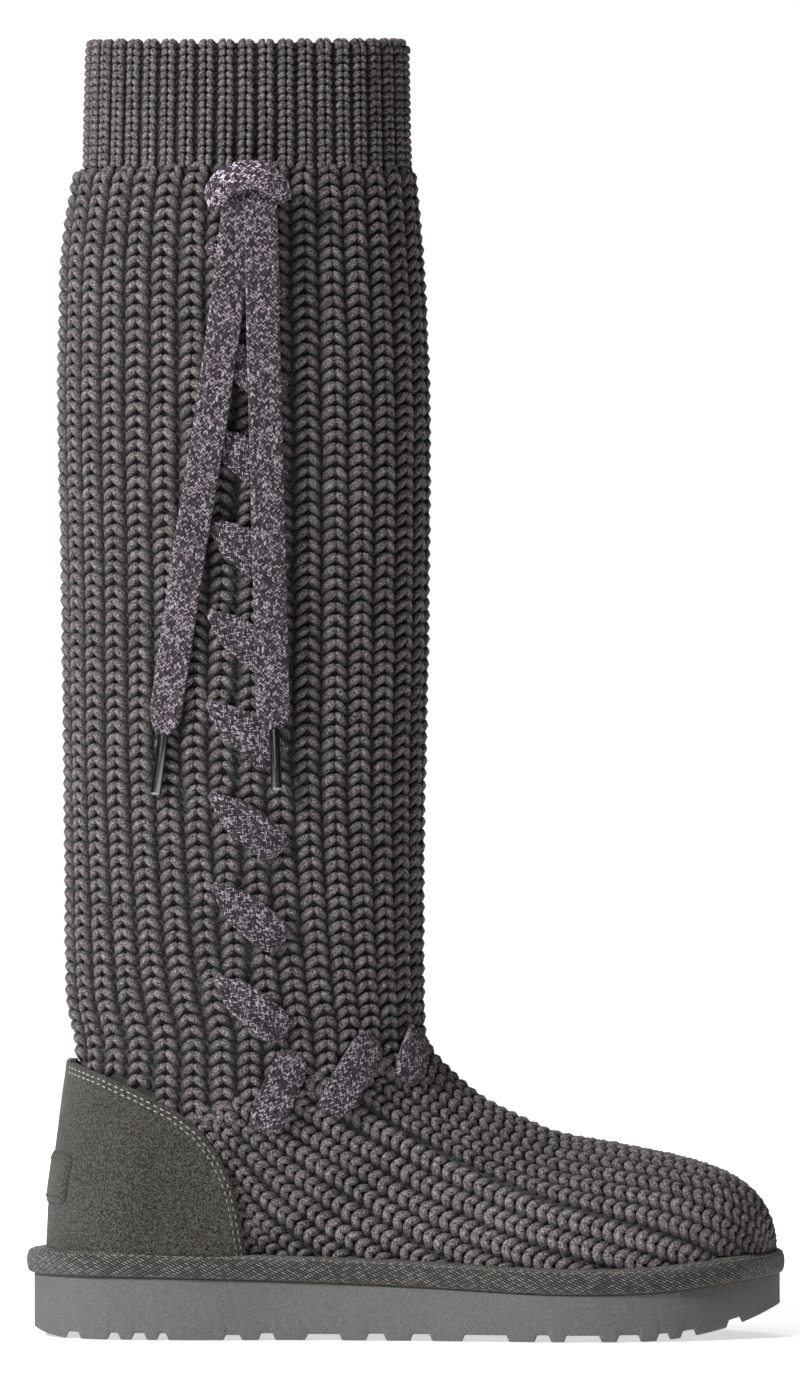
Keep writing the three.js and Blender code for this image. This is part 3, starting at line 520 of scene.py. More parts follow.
# Painted light: the knot's arch faces up into the key light, so its braid is a lit copy, 1.75 times as
# bright.
LIT_KNOT_BRAID = braid_look("knot_braid_painted_light", 1.75)
TWILL = twill_look("binding_twill")
SUEDE = suede_look("heel_suede", (0.082, 0.0775, 0.0675), (0.008, 0.0076, 0.0064))
LABEL_SUEDE = suede_look("label_suede", (0.076, 0.073, 0.065), (0.019, 0.018, 0.0165))
FOAM = foam_look("sole_foam")
PALE_THREAD = thread_look("pale_thread", (0.5, 0.48, 0.43))
DARK_THREAD = thread_look("dark_thread", (0.08, 0.08, 0.08))
METAL = metal_look("aglet_metal")
WOOL = wool_look("insole_wool", (0.34, 0.32, 0.3), (0.16, 0.15, 0.14))


# The upper's form, worked out as in the part's source

def unit(v):
    return v / np.linalg.norm(v, axis=-1, keepdims=True).clip(1e-9)


def run_of(line):
    """Distance along a line at each of its points."""
    return np.concatenate([[0], np.cumsum(np.linalg.norm(np.diff(line, axis=0), axis=1))])


def read_line(spots, run, values):
    """Values along a line, read at distances along it."""
    return np.stack([np.interp(spots, run, column) for column in values.T], 1)


def resample(points, count, closed=False):
    """Evenly spaced points along a line."""
    line = np.vstack([points, points[:1]]) if closed else points
    run = run_of(line)
    want = np.linspace(0, run[-1], count + 1)[:-1] if closed else np.linspace(0, run[-1], count)
    return read_line(want, run, line)


def hermite(a, b, slope_a, slope_b, t):
    """A smooth curve from a to b, with its slope at each end."""
    return (a * (2 * t**3 - 3 * t**2 + 1) + b * (3 * t**2 - 2 * t**3)
            + slope_a * (t**3 - 2 * t**2 + t) + slope_b * (t**3 - t**2))


def spline(a, b, c, d, t):
    """A smooth curve from b to c, on its way from a to d."""
    return 0.5 * (2 * b + (c - a) * t + (2 * a - 5 * b + 4 * c - d) * t**2 + (3 * b - a - 3 * c + d) * t**3)


def read_table(table, x):
    """A smooth value of a two-column table."""
    x = np.asarray(x, float)
    keys, values = table[:, 0], table[:, 1]
    steps = np.diff(values) / np.diff(keys)
    slopes = np.empty(len(keys))
    slopes[0], slopes[-1] = steps[0], steps[-1]
    slopes[1:-1] = (values[2:] - values[:-2]) / (keys[2:] - keys[:-2])
    i = np.clip(np.searchsorted(keys, x) - 1, 0, len(keys) - 2)
    span = keys[i + 1] - keys[i]
    t = np.clip((x - keys[i]) / span, 0, 1)
    return hermite(values[i], values[i + 1], slopes[i] * span, slopes[i + 1] * span, t)


def along_sole(x):
    return (np.asarray(x, float) - BACK_EDGE) / SOLE_LENGTH


def sole_top(x):
    along = along_sole(x)
    extra = np.where(along < BALL_AT, HEEL_HEIGHT, TOE_TOP) - BALL_HEIGHT
    return BALL_HEIGHT + extra * read_table(SOLE_TOP, along)


def sole_outline(count):
    knots = SOLE_PLAN * (SOLE_LENGTH, BALL_WIDTH / 2)
    t = (np.arange(24) / 24)[None, :, None]
    around = [np.roll(knots, step, 0)[:, None, :] for step in (1, 0, -1, -2)]
    curve = spline(*around, t).reshape(-1, 2)
    low, high = curve.min(0), curve.max(0)
    curve = (curve - (low + high) / 2) * (SOLE_LENGTH, BALL_WIDTH) / (high - low)
    return resample(curve, count, closed=True)


def plan_normals(plan):
    way = np.roll(plan, -1, 0) - np.roll(plan, 1, 0)
    return unit(np.stack([way[:, 1], -way[:, 0]], 1))


def footprint(count=240):
    """Outline of the knit where it stands on the sole."""
    plan = sole_outline(count)
    along = along_sole(plan[:, 0])
    end = np.where(along < 0.5, HEEL_INSET, TOE_INSET)
    inset = SIDE_INSET + (end - SIDE_INSET) * np.abs(2 * along - 1) ** 4
    return plan - plan_normals(plan) * inset[:, None]


def across_at(plan, x):
    """Lowest and highest y where a plan is crossed at x."""
    after = np.roll(plan, -1, 0)
    hit = (plan[:, 0] <= x) != (after[:, 0] <= x)
    a, b = plan[hit], after[hit]
    y = a[:, 1] + (b[:, 1] - a[:, 1]) * (x - a[:, 0]) / (b[:, 0] - a[:, 0])
    return y.min(), y.max()


def all_sections():
    """front (x, z), back (x, z), half, centre, widest, power at the front, power at the back."""
    rows = []
    for height, front, back, half in CUFF:
        z = CUFF_BASE + height * CUFF_HEIGHT
        rows.append(((LEG_CENTRE + front * CUFF_LENGTH / 2, z), (LEG_CENTRE + back * CUFF_LENGTH / 2, z),
                     half * CUFF_BREADTH / 2, 0, 0.5, 2, 2))
    for height, front, back, half in SHAFT:
        z = min(LEVEL_HEIGHT + height * (CUFF_BASE - LEVEL_HEIGHT), CUFF_BASE - CUFF_STEP / 2)
        rows.append(((LEG_CENTRE + front * SHAFT_LENGTH / 2, z), (LEG_CENTRE + back * SHAFT_LENGTH / 2, z),
                     half * SHAFT_BREADTH / 2, 0, 0.5, 2, 2))
    for front, back, half in THROAT:
        ends = [(LEG_CENTRE + x * SHAFT_LENGTH / 2, INSTEP_HEIGHT + z * LEVEL_RISE) for x, z in (front, back)]
        rows.append((*ends, half * ANKLE_BREADTH / 2, 0, 0.5, 2, 2))
    for front, back, half, widest, *powers in HEEL:
        rows.append((FOOT_SHARE * front, FOOT_SHARE * back, half * ANKLE_BREADTH / 2, 0, widest, *powers))
    plan = footprint()
    for front, back, *shape in FOOT:
        front, back = FOOT_SHARE * front, FOOT_SHARE * back
        part = np.clip((front[1] - sole_top(front[0])) / (front[1] - back[1]), 0, 1)
        low, high = across_at(plan, front[0] + (back[0] - front[0]) * part)
        rows.append((front, back, (high - low) / 2, (high + low) / 2, *shape))
    last = rows[-1]
    for front, back, half in TOE_END:
        rows.append((FOOT_SHARE * front, FOOT_SHARE * back, last[2] * half, *last[3:]))
    return rows


def section_ring(section, turns):
    """Points of one section at shares of its girth, 0 at the front, running over the outer side."""
    front, back, half, centre, widest, front_power, back_power = section
    front, back = np.array(front, float), np.array(back, float)
    angle = np.linspace(0, math.pi, 241)
    turn = np.cos(angle)
    power = 2 / np.where(turn > 0, front_power, back_power)
    reach = np.abs(turn) ** power
    along = np.where(turn > 0, widest * (1 - reach), widest + (1 - widest) * reach)
    across = np.sin(angle).clip(0) ** power * half
    depth = np.linalg.norm(back - front)
    run = np.concatenate([[0], np.cumsum(np.hypot(np.diff(along) * depth, np.diff(across)))])
    side = np.where(turns <= 0.5, -1, 1)
    want = run[-1] * np.where(turns <= 0.5, 2 * turns, 2 - 2 * turns)
    a, c = np.interp(want, run, along), np.interp(want, run, across)
    x, z = front[0] + (back[0] - front[0]) * a, front[1] + (back[1] - front[1]) * a
    return np.stack([x, centre + side * c, z], 1)


GRID = WALES * 24  # steps round the form
RINGS = np.stack([section_ring(section, np.arange(GRID) / GRID) for section in all_sections()])
CUFF_ROWS = len(CUFF) - 1
LAST_ROW = len(RINGS) - 1.01


def ring_slopes():
    """Slopes along the form at each ring, for a smooth curve through rings at uneven distances."""
    step = np.diff(RINGS, axis=0)
    length = np.linalg.norm(step, axis=2)[:, :, None].clip(1e-6)
    way = step / length
    slopes = np.empty_like(RINGS)
    slopes[-1] = way[-1]
    slopes[1:-1] = (way[:-1] * length[1:] + way[1:] * length[:-1]) / (length[1:] + length[:-1])
    slopes[0:3] = (RINGS[2] - RINGS[1]) / length[1]  # the cuff runs straight
    return slopes, length


SLOPES, SPANS = ring_slopes()


def surface(rows, turns):
    """Points of the outer form at rows (a share of the way from section to section) and turns."""
    rows, turns = np.broadcast_arrays(np.asarray(rows, float), np.asarray(turns, float))
    i = np.clip(rows.astype(int), 0, len(RINGS) - 2)
    t = (rows - i)[..., None]
    spot = np.mod(turns, 1) * GRID
    j = spot.astype(int) % GRID
    k = (j + 1) % GRID
    w = (spot - np.floor(spot))[..., None]

    def column(j):
        span = SPANS[i, j]
        return hermite(RINGS[i, j], RINGS[i + 1, j], SLOPES[i, j] * span, SLOPES[i + 1, j] * span, t)
    return column(j) * (1 - w) + column(k) * w


def axes_at(rows, turns):
    """Point and outward normal, with the girth's length for a whole turn."""
    top = len(RINGS) - 1.001
    dr, dt = 0.02, 0.002
    down = surface(np.minimum(rows + dr, top), turns) - surface(np.maximum(rows - dr, 0), turns)
    round_it = surface(rows, turns + dt) - surface(rows, turns - dt)
    girth = np.linalg.norm(round_it, axis=-1) / (2 * dt)
    return surface(rows, turns), unit(np.cross(round_it, down)), girth


@functools.cache
def side_grid(side):
    """Rows, turns and (x, z) of a grid over one side of the form."""
    rows, turns = np.linspace(0, LAST_ROW, 300), np.linspace(0.003, 0.497, 110)
    turns = turns if side < 0 else 1 - turns
    grid = surface(rows[:, None], turns[None, :])
    return np.repeat(rows, len(turns)), np.tile(turns, len(rows)), grid[..., [0, 2]].reshape(-1, 2)


def place_at(x, z, side):
    """Rows and turns of the outer form that show at (x, z) from one side."""
    x, z = np.atleast_1d(x).astype(float), np.atleast_1d(z).astype(float)
    rows, turns, grid = side_grid(side)
    near = ((grid[None, :, 0] - x[:, None]) ** 2 + (grid[None, :, 1] - z[:, None]) ** 2).argmin(1)
    r, t = rows[near], turns[near]
    dr, dt = 0.01, 0.0005
    for _ in range(8):
        p = surface(r, t)
        low, high = np.maximum(r - dr, 0), np.minimum(r + dr, LAST_ROW)
        pr = (surface(high, t) - surface(low, t)) / (high - low)[:, None]
        pt = (surface(r, t + dt) - surface(r, t - dt)) / (2 * dt)
        det = pr[:, 0] * pt[:, 2] - pr[:, 2] * pt[:, 0]
        good = np.abs(det) > 1.0
        det = np.where(good, det, 1.0)
        ex, ez = x - p[:, 0], z - p[:, 2]
        step_r = np.where(good, (ex * pt[:, 2] - ez * pt[:, 0]) / det, 0)
        step_t = np.where(good, (pr[:, 0] * ez - pr[:, 2] * ex) / det, 0)
        r = np.clip(r + np.clip(step_r, -0.4, 0.4), 0, LAST_ROW)
        t = t + np.clip(step_t, -0.015, 0.015)
    return r, t


def level_rows(turns, z):
    """Rows at which the form has this height, for each turn."""
    rows = np.linspace(len(CUFF) + len(SHAFT) - 2.0, LAST_ROW, 500)
    out = np.full(len(turns), rows[-1])
    for k, turn in enumerate(turns):
        line = surface(rows, turn)[:, 2]
        under = np.nonzero(line < z)[0]
        if len(under):
            i = max(under[0], 1)
            share = (line[i - 1] - z) / (line[i - 1] - line[i] + 1e-9)
            out[k] = rows[i - 1] + (rows[i] - rows[i - 1]) * share
    return out


# Stitches

# Centre lines of the foot's columns of stitches, counted from the ridge of the instep: x, z
FOOT_GUIDES = {
    6: [(-38.5, 109.3), (-19.9, 92.7), (-11.6, 86.3), (-2.7, 79.8), (8.1, 73.4), (18.9, 67.6), (33.2, 60.8),
        (47.6, 55.4), (60.1, 51.8), (76.3, 47.9), (90.6, 44.0), (103.2, 38.9), (114.0, 32.8), (121.1, 27.4),
        (128.3, 19.6)],
    8: [(-52.9, 95.6), (-42.1, 87.0), (-31.4, 79.5), (-20.6, 71.9), (-11.6, 66.6), (-2.7, 61.5), (8.1, 55.4),
        (18.9, 50.1), (33.2, 44.0), (47.6, 38.6), (60.1, 34.6), (72.7, 31.0), (85.3, 26.7), (101.4, 19.6)],
    10: [(-60.1, 84.1), (-47.5, 74.1), (-38.5, 67.3), (-24.2, 57.9), (-14.9, 51.8), (-2.7, 43.2),
         (11.7, 35.3), (26.1, 28.2), (47.6, 18.8)],
    12: [(-65.4, 74.5), (-56.5, 66.2), (-45.7, 56.2), (-31.4, 44.0), (-17.0, 33.9), (-8.0, 27.4),
         (8.1, 16.7)],
    14: [(-62.9, 56.2), (-54.7, 45.4), (-45.7, 37.1), (-34.9, 28.2), (-22.4, 17.8)],
    16: [(-60.1, 38.2), (-52.2, 29.6), (-43.9, 21.3)],
}
FOOT_CHAINS = 18
PAINTED_SHADE_DEPTH = 3.1  # depth below the knit's envelope at which its painted shade is darkest
DARKEST_PAINTED_SHADE = 0.08  # tone of the painted shade there, as a share
LEAN = 0.03  # of the leg's columns, as a share of the girth
LEAN_FROM = 215.0  # height at which they start to lean
LEAN_TO = 85.0  # height at which they lean fully
HOLE_REACH = 6.5  # how far round a hole the lace draws the knit together
SEAM_OVERLAP = 3.0  # of the leg's columns and the foot's
# Where the leg's columns end and the foot's begin: x, z
ANKLE_SEAM = np.array([
    (-140.0, 79.5), (-72.6, 79.5), (-62.6, 80.9), (-52.2, 84.1), (-43.9, 87.0), (-33.9, 89.9), (-22.4, 93.0),
    (-8.8, 95.5), (3.4, 98.0), (7.4, 103.5), (20.0, 130.0),
])
# Shape of a stitch's leg, from its inner, upper end to its outer, lower end:
# share of the way, share of its thickness
LEG_PROFILE = np.array([
    (0.0, 0.0), (0.09, 0.68), (0.28, 0.95), (0.52, 1.0), (0.76, 0.88), (0.92, 0.56), (1.0, 0.0),
])


def pod_faces(sides, rings):
    """Triangles of a pod: a point at each end and rings of points between."""
    faces = []
    last = 1 + rings * sides
    for j in range(sides):
        k = (j + 1) % sides
        faces += [(0, 1 + k, 1 + j), (last, last - sides + j, last - sides + k)]
        for start in range(1, last - sides, sides):
            a, b = start + j, start + k
            faces += [(a, b, b + sides), (a, b + sides, a + sides)]
    return np.array(faces)


def leg_template(reach, rise, thick, deep, sides=7, curl=1.0, inner_dip=1.0, inset=-0.45):
    """One leg of a stitch: points of its middle line, points round it, uv and faces. Across is the column's
    side, up its way to the collar, and off the envelope of the knit."""
    share = LEG_PROFILE[:, 0]
    fine = np.linspace(0, 1, 201)
    radius = reach + 0.4

    def middle(s):
        v = inset + (reach - inset) * s
        u = rise * (0.5 - 0.35 * s - 0.65 * s**2.2)
        h = -deep - 0.1 - curl * radius * (1 - np.sqrt(1 - (v / radius) ** 2)) - inner_dip * (1 - s) ** 4
        return np.stack([v, u, h], -1)
    run = run_of(middle(fine))
    spots = np.interp(share * run[-1], run, fine)
    centre = middle(spots)
    way = unit(middle(np.minimum(spots + 0.01, 1)) - middle(np.maximum(spots - 0.01, 0)))
    tilt = np.clip(centre[:, 0] / radius, 0, 1) * 0.85
    out = np.stack([tilt, 0 * tilt, np.sqrt(1 - tilt**2)], 1)
    side = unit(np.cross(out, way))
    out = np.cross(way, side)
    angle = np.arange(sides) * 2 * math.pi / sides
    middles, rounds, uv = [], [], []
    for i, (s, r) in enumerate(LEG_PROFILE):
        for a in angle if r > 0 else (0.0,):
            middles.append(centre[i])
            rounds.append(r * (thick * math.cos(a) * side[i] + deep * math.sin(a) * out[i]))
            uv.append((s * run[-1], a * thick))
    return np.array(middles), np.array(rounds), np.array(uv), pod_faces(sides, len(LEG_PROFILE) - 2)


def bump_template(half_length, half_width, half_height, depth=0.0):
    """A small pillow across the column: a purl bump or a stitch of thread."""
    sides = 6
    angle = np.arange(sides) * 2 * math.pi / sides
    rounds = [(-half_length, 0, 0)]
    for t in (-0.65, 0.0, 0.65):
        r = math.sqrt(1 - t * t)
        rounds += [(half_length * t, half_width * r * math.cos(a), half_height * r * math.sin(a))
                   for a in angle]
    rounds = np.array(rounds + [(half_length, 0, 0)], float)
    middles = np.zeros_like(rounds)
    middles[:, 2] = -depth
    return middles, rounds, rounds[:, :2], pod_faces(sides, 3)


def set_stitches(name, places, template, material, width, pitch, hands=(-1, 1), tone=1.0, jitter=1.0):
    """Lays a template, once for each hand, at many places: their point, up, normal, width and pitch."""
    point, up, normal, widths, pitches = places
    middles, rounds, uv, faces = template
    across = unit(np.cross(up, normal))
    up = unit(np.cross(normal, across))
    n, size = len(point), len(middles)
    starts = np.arange(n)[:, None, None] * size
    parts, all_faces, uvs, shades = [], [], [], []
    for k, hand in enumerate(hands):
        wide = (widths / width * RNG.normal(1, 0.02 * jitter, n))[:, None]
        long = (pitches / pitch * RNG.normal(1, 0.03 * jitter, n))[:, None]
        plump = RNG.normal(1, 0.035 * jitter, n)[:, None, None] * (0.4 + 0.6 * wide[:, :, None])
        lean = RNG.normal(0, 0.05 * jitter, n)[:, None]
        shift = RNG.normal(0, 0.1 * jitter, (3, n))[:, :, None]
        v = middles[:, 0] * wide + shift[0]
        u = middles[:, 1] * long - middles[:, 0] * lean + shift[1]
        h = middles[:, 2] - np.abs(shift[2])
        local = np.stack([v, u, h], 2) + rounds[None] * plump
        world = (point[:, None] + hand * local[..., :1] * across[:, None] + local[..., 1:2] * up[:, None]
                 + local[..., 2:] * normal[:, None])
        parts.append(world.reshape(-1, 3))
        turned = faces if hand > 0 else faces[:, ::-1]
        all_faces.append((turned[None] + starts + k * n * size).reshape(-1, 3))
        uvs.append((uv[None] + RNG.uniform(0, 400, (n, 1, 2))).reshape(-1, 2))
        # Painted shade: each point is darker the lower it lies under the knit's envelope, for the shade in
        # the gaps between stitches; the random factor is each stitch's own tone.
        sunk = DARKEST_PAINTED_SHADE + (1 - DARKEST_PAINTED_SHADE) * np.clip(1 + local[..., 2] / PAINTED_SHADE_DEPTH, 0, 1) ** 1.8
        shades.append((sunk * (tone * RNG.normal(1, 0.05, n))[:, None]).ravel())
    mesh_object(name, np.concatenate(parts), all_faces, material, uv=np.concatenate(uvs),
                shade=np.concatenate(shades))


def spaced(line, pitch, start, *more):
    """At even steps along a line: the way back along it, its points, and more values along it."""
    run = run_of(line)
    spots = np.arange(start, run[-1], pitch)
    up = unit(read_line(spots - 1.0, run, line) - read_line(spots + 1.0, run, line))
    return [up] + [read_line(spots, run, values) for values in (line, *more)]


def counter_edge_x(z):
    """How far forward the heel counter reaches at each height, and nowhere over its top."""
    return np.interp(z, COUNTER_EDGE[:, 1], COUNTER_EDGE[:, 0], right=-400)


def seam_height(x):
    return np.interp(x, ANKLE_SEAM[:, 0], ANKLE_SEAM[:, 1])


def shown(point):
    """Stitches that show: over the binding and ahead of the heel counter."""
    sunk, margin = 3.5, 2.5
    over = point[:, 2] > sole_top(point[:, 0]) + sunk
    return over & (point[:, 0] > counter_edge_x(point[:, 2]) - margin)


def join(parts):
    return [np.concatenate(column) for column in zip(*parts)]


def leg_places(offset, start):
    """Stitches of the leg, down its columns from the cuff to the ankle. Low down the columns lean forwards,
    and where the lace goes through they are drawn towards its holes."""
    rows = np.linspace(CUFF_ROWS + 0.5, len(CUFF) + len(SHAFT) + 8, 1500)
    holes = np.concatenate([surface(*place_at((x0, x1), (z0, z1), -1)) for x0, z0, x1, z1 in SIDE_STITCHES])
    parts = []
    for i in range(WALES):
        turn = (i + offset + WALE_PHASE) / WALES
        low = np.clip((LEAN_FROM - surface(rows, turn)[:, 2]) / (LEAN_FROM - LEAN_TO), 0, 1.1)
        turns = turn - LEAN * math.sin(2 * math.pi * turn) * low**1.5
        point, normal, girth = axes_at(rows, turns)
        begin = start + RNG.uniform(-0.5, 0.5)
        up, point, normal, girth = spaced(point, LEG_STITCH, begin, normal, girth[:, None])
        keep = shown(point) & (point[:, 2] > seam_height(point[:, 0]) - SEAM_OVERLAP)
        point, up, normal, girth = point[keep], up[keep], unit(normal[keep]), girth[keep, 0]
        to_hole = holes[None] - point[:, None]
        to_hole -= (to_hole * normal[:, None]).sum(2, keepdims=True) * normal[:, None]
        pull = 0.45 * np.exp(-(np.linalg.norm(to_hole, axis=2) / HOLE_REACH) ** 2)
        point = point + (to_hole * pull[:, :, None]).sum(1)
        tight = pull.sum(1)
        up = unit(up + 0.5 * tight[:, None] * RNG.normal(0, 1, (len(point), 3)))
        parts.append((point, up, normal, girth / WALES * (1 - 0.3 * tight), np.full(len(point), LEG_STITCH)))
    return join(parts)


def guide_height(table, x):
    """Height of one guide line, carried on straight beyond its ends."""
    table = np.array(table)
    inside = np.clip(x, table[0, 0], table[-1, 0])
    steps = np.diff(table[:, 1]) / np.diff(table[:, 0])
    return read_table(table, inside) + np.where(x < inside, steps[0], steps[-1]) * (x - inside)


def chain_height(k, x):
    """Height of one of the foot's columns, between the guides on both sides of it."""
    keys = sorted(FOOT_GUIDES)
    i = min(max((k - keys[0]) // 2, 0), len(keys) - 2)
    share = (k - keys[i]) / 2
    upper, lower = (guide_height(FOOT_GUIDES[key], x) for key in keys[i:i + 2])
    return (1 - share) * upper + share * lower


@functools.cache
def chain_line(k, side):
    """Rows and turns along one column of the foot, from the ankle to the sole or the toe."""
    first = min(FOOT_GUIDES)
    if k >= first:
        x = np.arange(-76, 134, 0.7)
        z = chain_height(k, x)
        keep = (z < seam_height(x) + SEAM_OVERLAP) & (z > sole_top(x) + 1.5) & (x > counter_edge_x(z) - 6)
        return place_at(x[keep], z[keep], side)
    rows, turns = chain_line(first, side)
    more = np.linspace(rows[-1], LAST_ROW, 80)[1:]
    base = turns if side < 0 else 1 - turns
    base = np.concatenate([base, np.full(len(more), base[-1])]) * k / first
    return np.concatenate([rows, more]), base if side < 0 else 1 - base


def foot_places():
    """Stitches of the foot, along columns that follow the instep and run out at the sole."""
    lines = {}
    for side in (-1, 1):
        for k in range(FOOT_CHAINS):
            rows, turns = chain_line(k, side)
            if len(rows) > 3:
                lines[side, k] = axes_at(rows, turns)[:2]
    parts = []
    for (side, k), (point, normal) in lines.items():
        if side > 0 and k == 0:  # the column on the ridge is laid once
            continue
        near = []
        for step in (-1, 1):
            other = lines.get((side, k + step) if k + step >= 0 else (-side, 1))
            if other is not None:
                near.append(np.linalg.norm(point[:, None] - other[0][None], axis=2).min(1))
        width = np.clip(np.min(near, axis=0), 5.5, 10.5)
        begin = 1.0 + RNG.uniform(-0.4, 0.4)
        up, spot, out, width = spaced(point, FOOT_STITCH, begin, normal, width[:, None])
        keep = shown(spot)
        pitch = np.full(keep.sum(), FOOT_STITCH)
        parts.append((spot[keep], up[keep], unit(out[keep]), width[keep, 0], pitch))
    return join(parts)


def make_knit():
    leg = leg_template(4.5, 4.6, 1.68, 1.75, curl=1.05, inner_dip=0.4, inset=-0.3)
    bump = bump_template(0.8, 0.7, 0.5, depth=3.5)
    places = leg_places(0, 0.4)
    for name, low, high in (("upper", 300, 500), ("middle", 200, 300), ("lower", 0, 200)):
        part = (places[0][:, 2] >= low) & (places[0][:, 2] < high)
        set_stitches(f"knit_shaft_{name}", [column[part] for column in places], leg, YARN, 10.4, LEG_STITCH,
                     tone=1.08)
    # Purl bumps lie in the grooves between columns; tone 0.7 darkens them as painted shade.
    set_stitches("knit_shaft_purl", leg_places(0.5, 3.2), bump, YARN, 10.4, LEG_STITCH, (1,), 0.7)
    foot = leg_template(3.25, 4.4, 1.72, 1.6, curl=1.1, inner_dip=0.15, inset=-0.55)
    set_stitches("knit_foot", foot_places(), foot, YARN, 7.7, FOOT_STITCH, tone=1.05)


def cuff_places(offset):
    """Stitches of the cuff, over its rim and a little way down inside, and down to the leg."""
    parts = []
    upward = np.array((0, 0, 1.0))
    rows = np.linspace(0.0, CUFF_ROWS, 300)
    for i in range(CUFF_WALES):
        line, normal, girth = axes_at(rows, (i + offset) / CUFF_WALES)
        run = run_of(line)
        places = np.arange(-11 * CUFF_STITCH, run[-1] - CUFF_RIM + 1.2, CUFF_STITCH) + RNG.uniform(-0.4, 0.4)
        point = read_line(places + CUFF_RIM, run, line)
        out = unit(read_line(places + CUFF_RIM, run, normal))
        base = read_line([CUFF_RIM], run, line)
        outward = unit(normal[0] * (1, 1, 0))
        angle = np.clip(-places / CUFF_RIM, 0, math.pi)[:, None]
        below = np.clip(-places - math.pi * CUFF_RIM, 0, None)[:, None]
        over = (places < 0)[:, None]
        turned = base - outward * CUFF_RIM * (1 - np.cos(angle)) + upward * (CUFF_RIM * np.sin(angle) - below)
        point = np.where(over, turned, point)
        out = unit(np.where(over, outward * np.cos(angle) + upward * np.sin(angle), out))
        up = unit(np.where(over, upward * np.cos(angle) - outward * np.sin(angle), upward))
        n = len(point)
        width = girth[len(rows) // 2] / CUFF_WALES
        parts.append((point, up, out, np.full(n, width), np.full(n, CUFF_STITCH)))
    return join(parts)


def make_cuff():
    chain = leg_template(2.3, 2.2, 1.34, 1.45, sides=6, curl=1.0, inner_dip=0.2, inset=0.2)
    set_stitches("knit_cuff", cuff_places(0), chain, YARN, 7.4, CUFF_STITCH, jitter=0.8)
    bump = bump_template(0.8, 0.7, 0.5, depth=3.1)
    # tone 0.6 darkens the cuff's purl bumps in their grooves as painted shade.
    set_stitches("knit_cuff_purl", cuff_places(0.5), bump, YARN, 7.4, CUFF_STITCH, (1,), 0.6)


def make_ground():
    """The closed wall that the stitches stand on, with the lining face inside, in near-black yarn as painted
    shadow.
    """
    count = WALES * 6
    turns = (np.arange(count) + WALE_PHASE) / count
    rows = np.concatenate([np.linspace(0.0, CUFF_ROWS, 9), np.linspace(CUFF_ROWS + 0.5, LAST_ROW, 64)])
    outer, inner = [], []
    for row in rows:
        point, normal, girth = axes_at(row, turns)
        deep = 2.9 if row <= CUFF_ROWS else 3.5
        wall = 3.3 if BOOT_HEIGHT - point[:, 2].mean() < 26 else KNIT_WALL + 0.2
        outer.append(point - normal * np.minimum(deep, 0.38 * girth / WALES)[:, None])
        inner.append(point - normal * wall)
    for wall in (outer, inner):
        for ring in wall:
            ring[:, 2] = np.maximum(ring[:, 2], sole_top(ring[:, 0]) + 0.6)
        wall[0][:, 2] -= 2.6
    wall = np.array(inner[::-1] + outer)
    run = np.repeat(np.arange(len(wall)) * 4.0, count)
    uv = np.stack([run, np.tile(np.arange(count) * 1.8, len(wall))], 1)
    mesh_object("knit_ground", wall, [grid_faces(len(wall), count)], SHADOW_YARN, ("upper",), uv=uv,
                shade=np.ones(len(uv)))


# Sole, binding and insole

def side_walls(x):
    """Lowest and highest y of the sole's outline at each x."""
    plan = sole_outline(1600)
    plan = np.roll(plan, -plan[:, 0].argmin(), 0)
    front = plan[:, 0].argmax()
    halves = (plan[:front + 1], plan[front:])
    return [np.interp(x, *half[np.argsort(half[:, 0])].T) for half in halves]


def sole_bottom(x):
    along = along_sole(x)
    heel, toe = HEEL_BEVEL * read_table(HEEL_CURVE, along), TOE_SPRING * read_table(TOE_CURVE, along)
    cut = np.zeros_like(along)
    soft = 0.0045
    for start, end, share in GROOVES:
        ramp = np.clip(np.minimum(along - start + soft / 3, end - along + soft / 3) / soft, 0, 1)
        cut = np.maximum(cut, share * GROOVE_DEPTH * (ramp * ramp * (3 - 2 * ramp)))
    return np.where(along < 0.5, heel, toe) + cut


def make_sole():
    """The foam, through sections across it, which lie closer where a groove begins or ends."""
    fine = [BACK_EDGE + SOLE_LENGTH * s for a, b, _ in GROOVES for s in
            (*np.linspace(a - 0.002, a + 0.004, 5), *np.linspace(b - 0.004, b + 0.002, 5))]
    x = -np.cos(np.linspace(0, math.pi, 90)) * SOLE_LENGTH / 2
    x = np.unique(np.round(np.concatenate([x, fine, np.linspace(-120, 120, 81)]), 3))
    x = x[(x > BACK_EDGE + 0.01) & (x < -BACK_EDGE - 0.01)]
    rings = []
    for xi, a, b, z0, z1 in zip(x, *side_walls(x), sole_bottom(x), sole_top(x)):
        half, mid = (b - a) / 2, (a + b) / 2
        soft = min(1.1, half * 0.4)
        side = [(soft - half, z0), (0.3 * soft - half, z0 + 0.25 * soft), (-half, z0 + soft),
                (-half, (z0 + z1) / 2), (-half, z1 - 0.6), (0.5 - half, z1)]
        rings.append([(xi, mid + y, z) for y, z in side + [(-y, z) for y, z in side[::-1]]])
    tube("foam_sole", np.array(rings), FOAM, ("outsole",), "foam", sharp=38)


def sole_ring(plan, out, up):
    """Points round the sole, out from its outline and up from its top."""
    x, y = (plan + plan_normals(plan) * np.broadcast_to(out, len(plan))[:, None]).T
    return np.stack([x, y, sole_top(plan[:, 0]) + up], 1)


def binding_overhang(plan):
    return HEEL_OVERHANG + (TOE_OVERHANG - HEEL_OVERHANG) * along_sole(plan[:, 0])


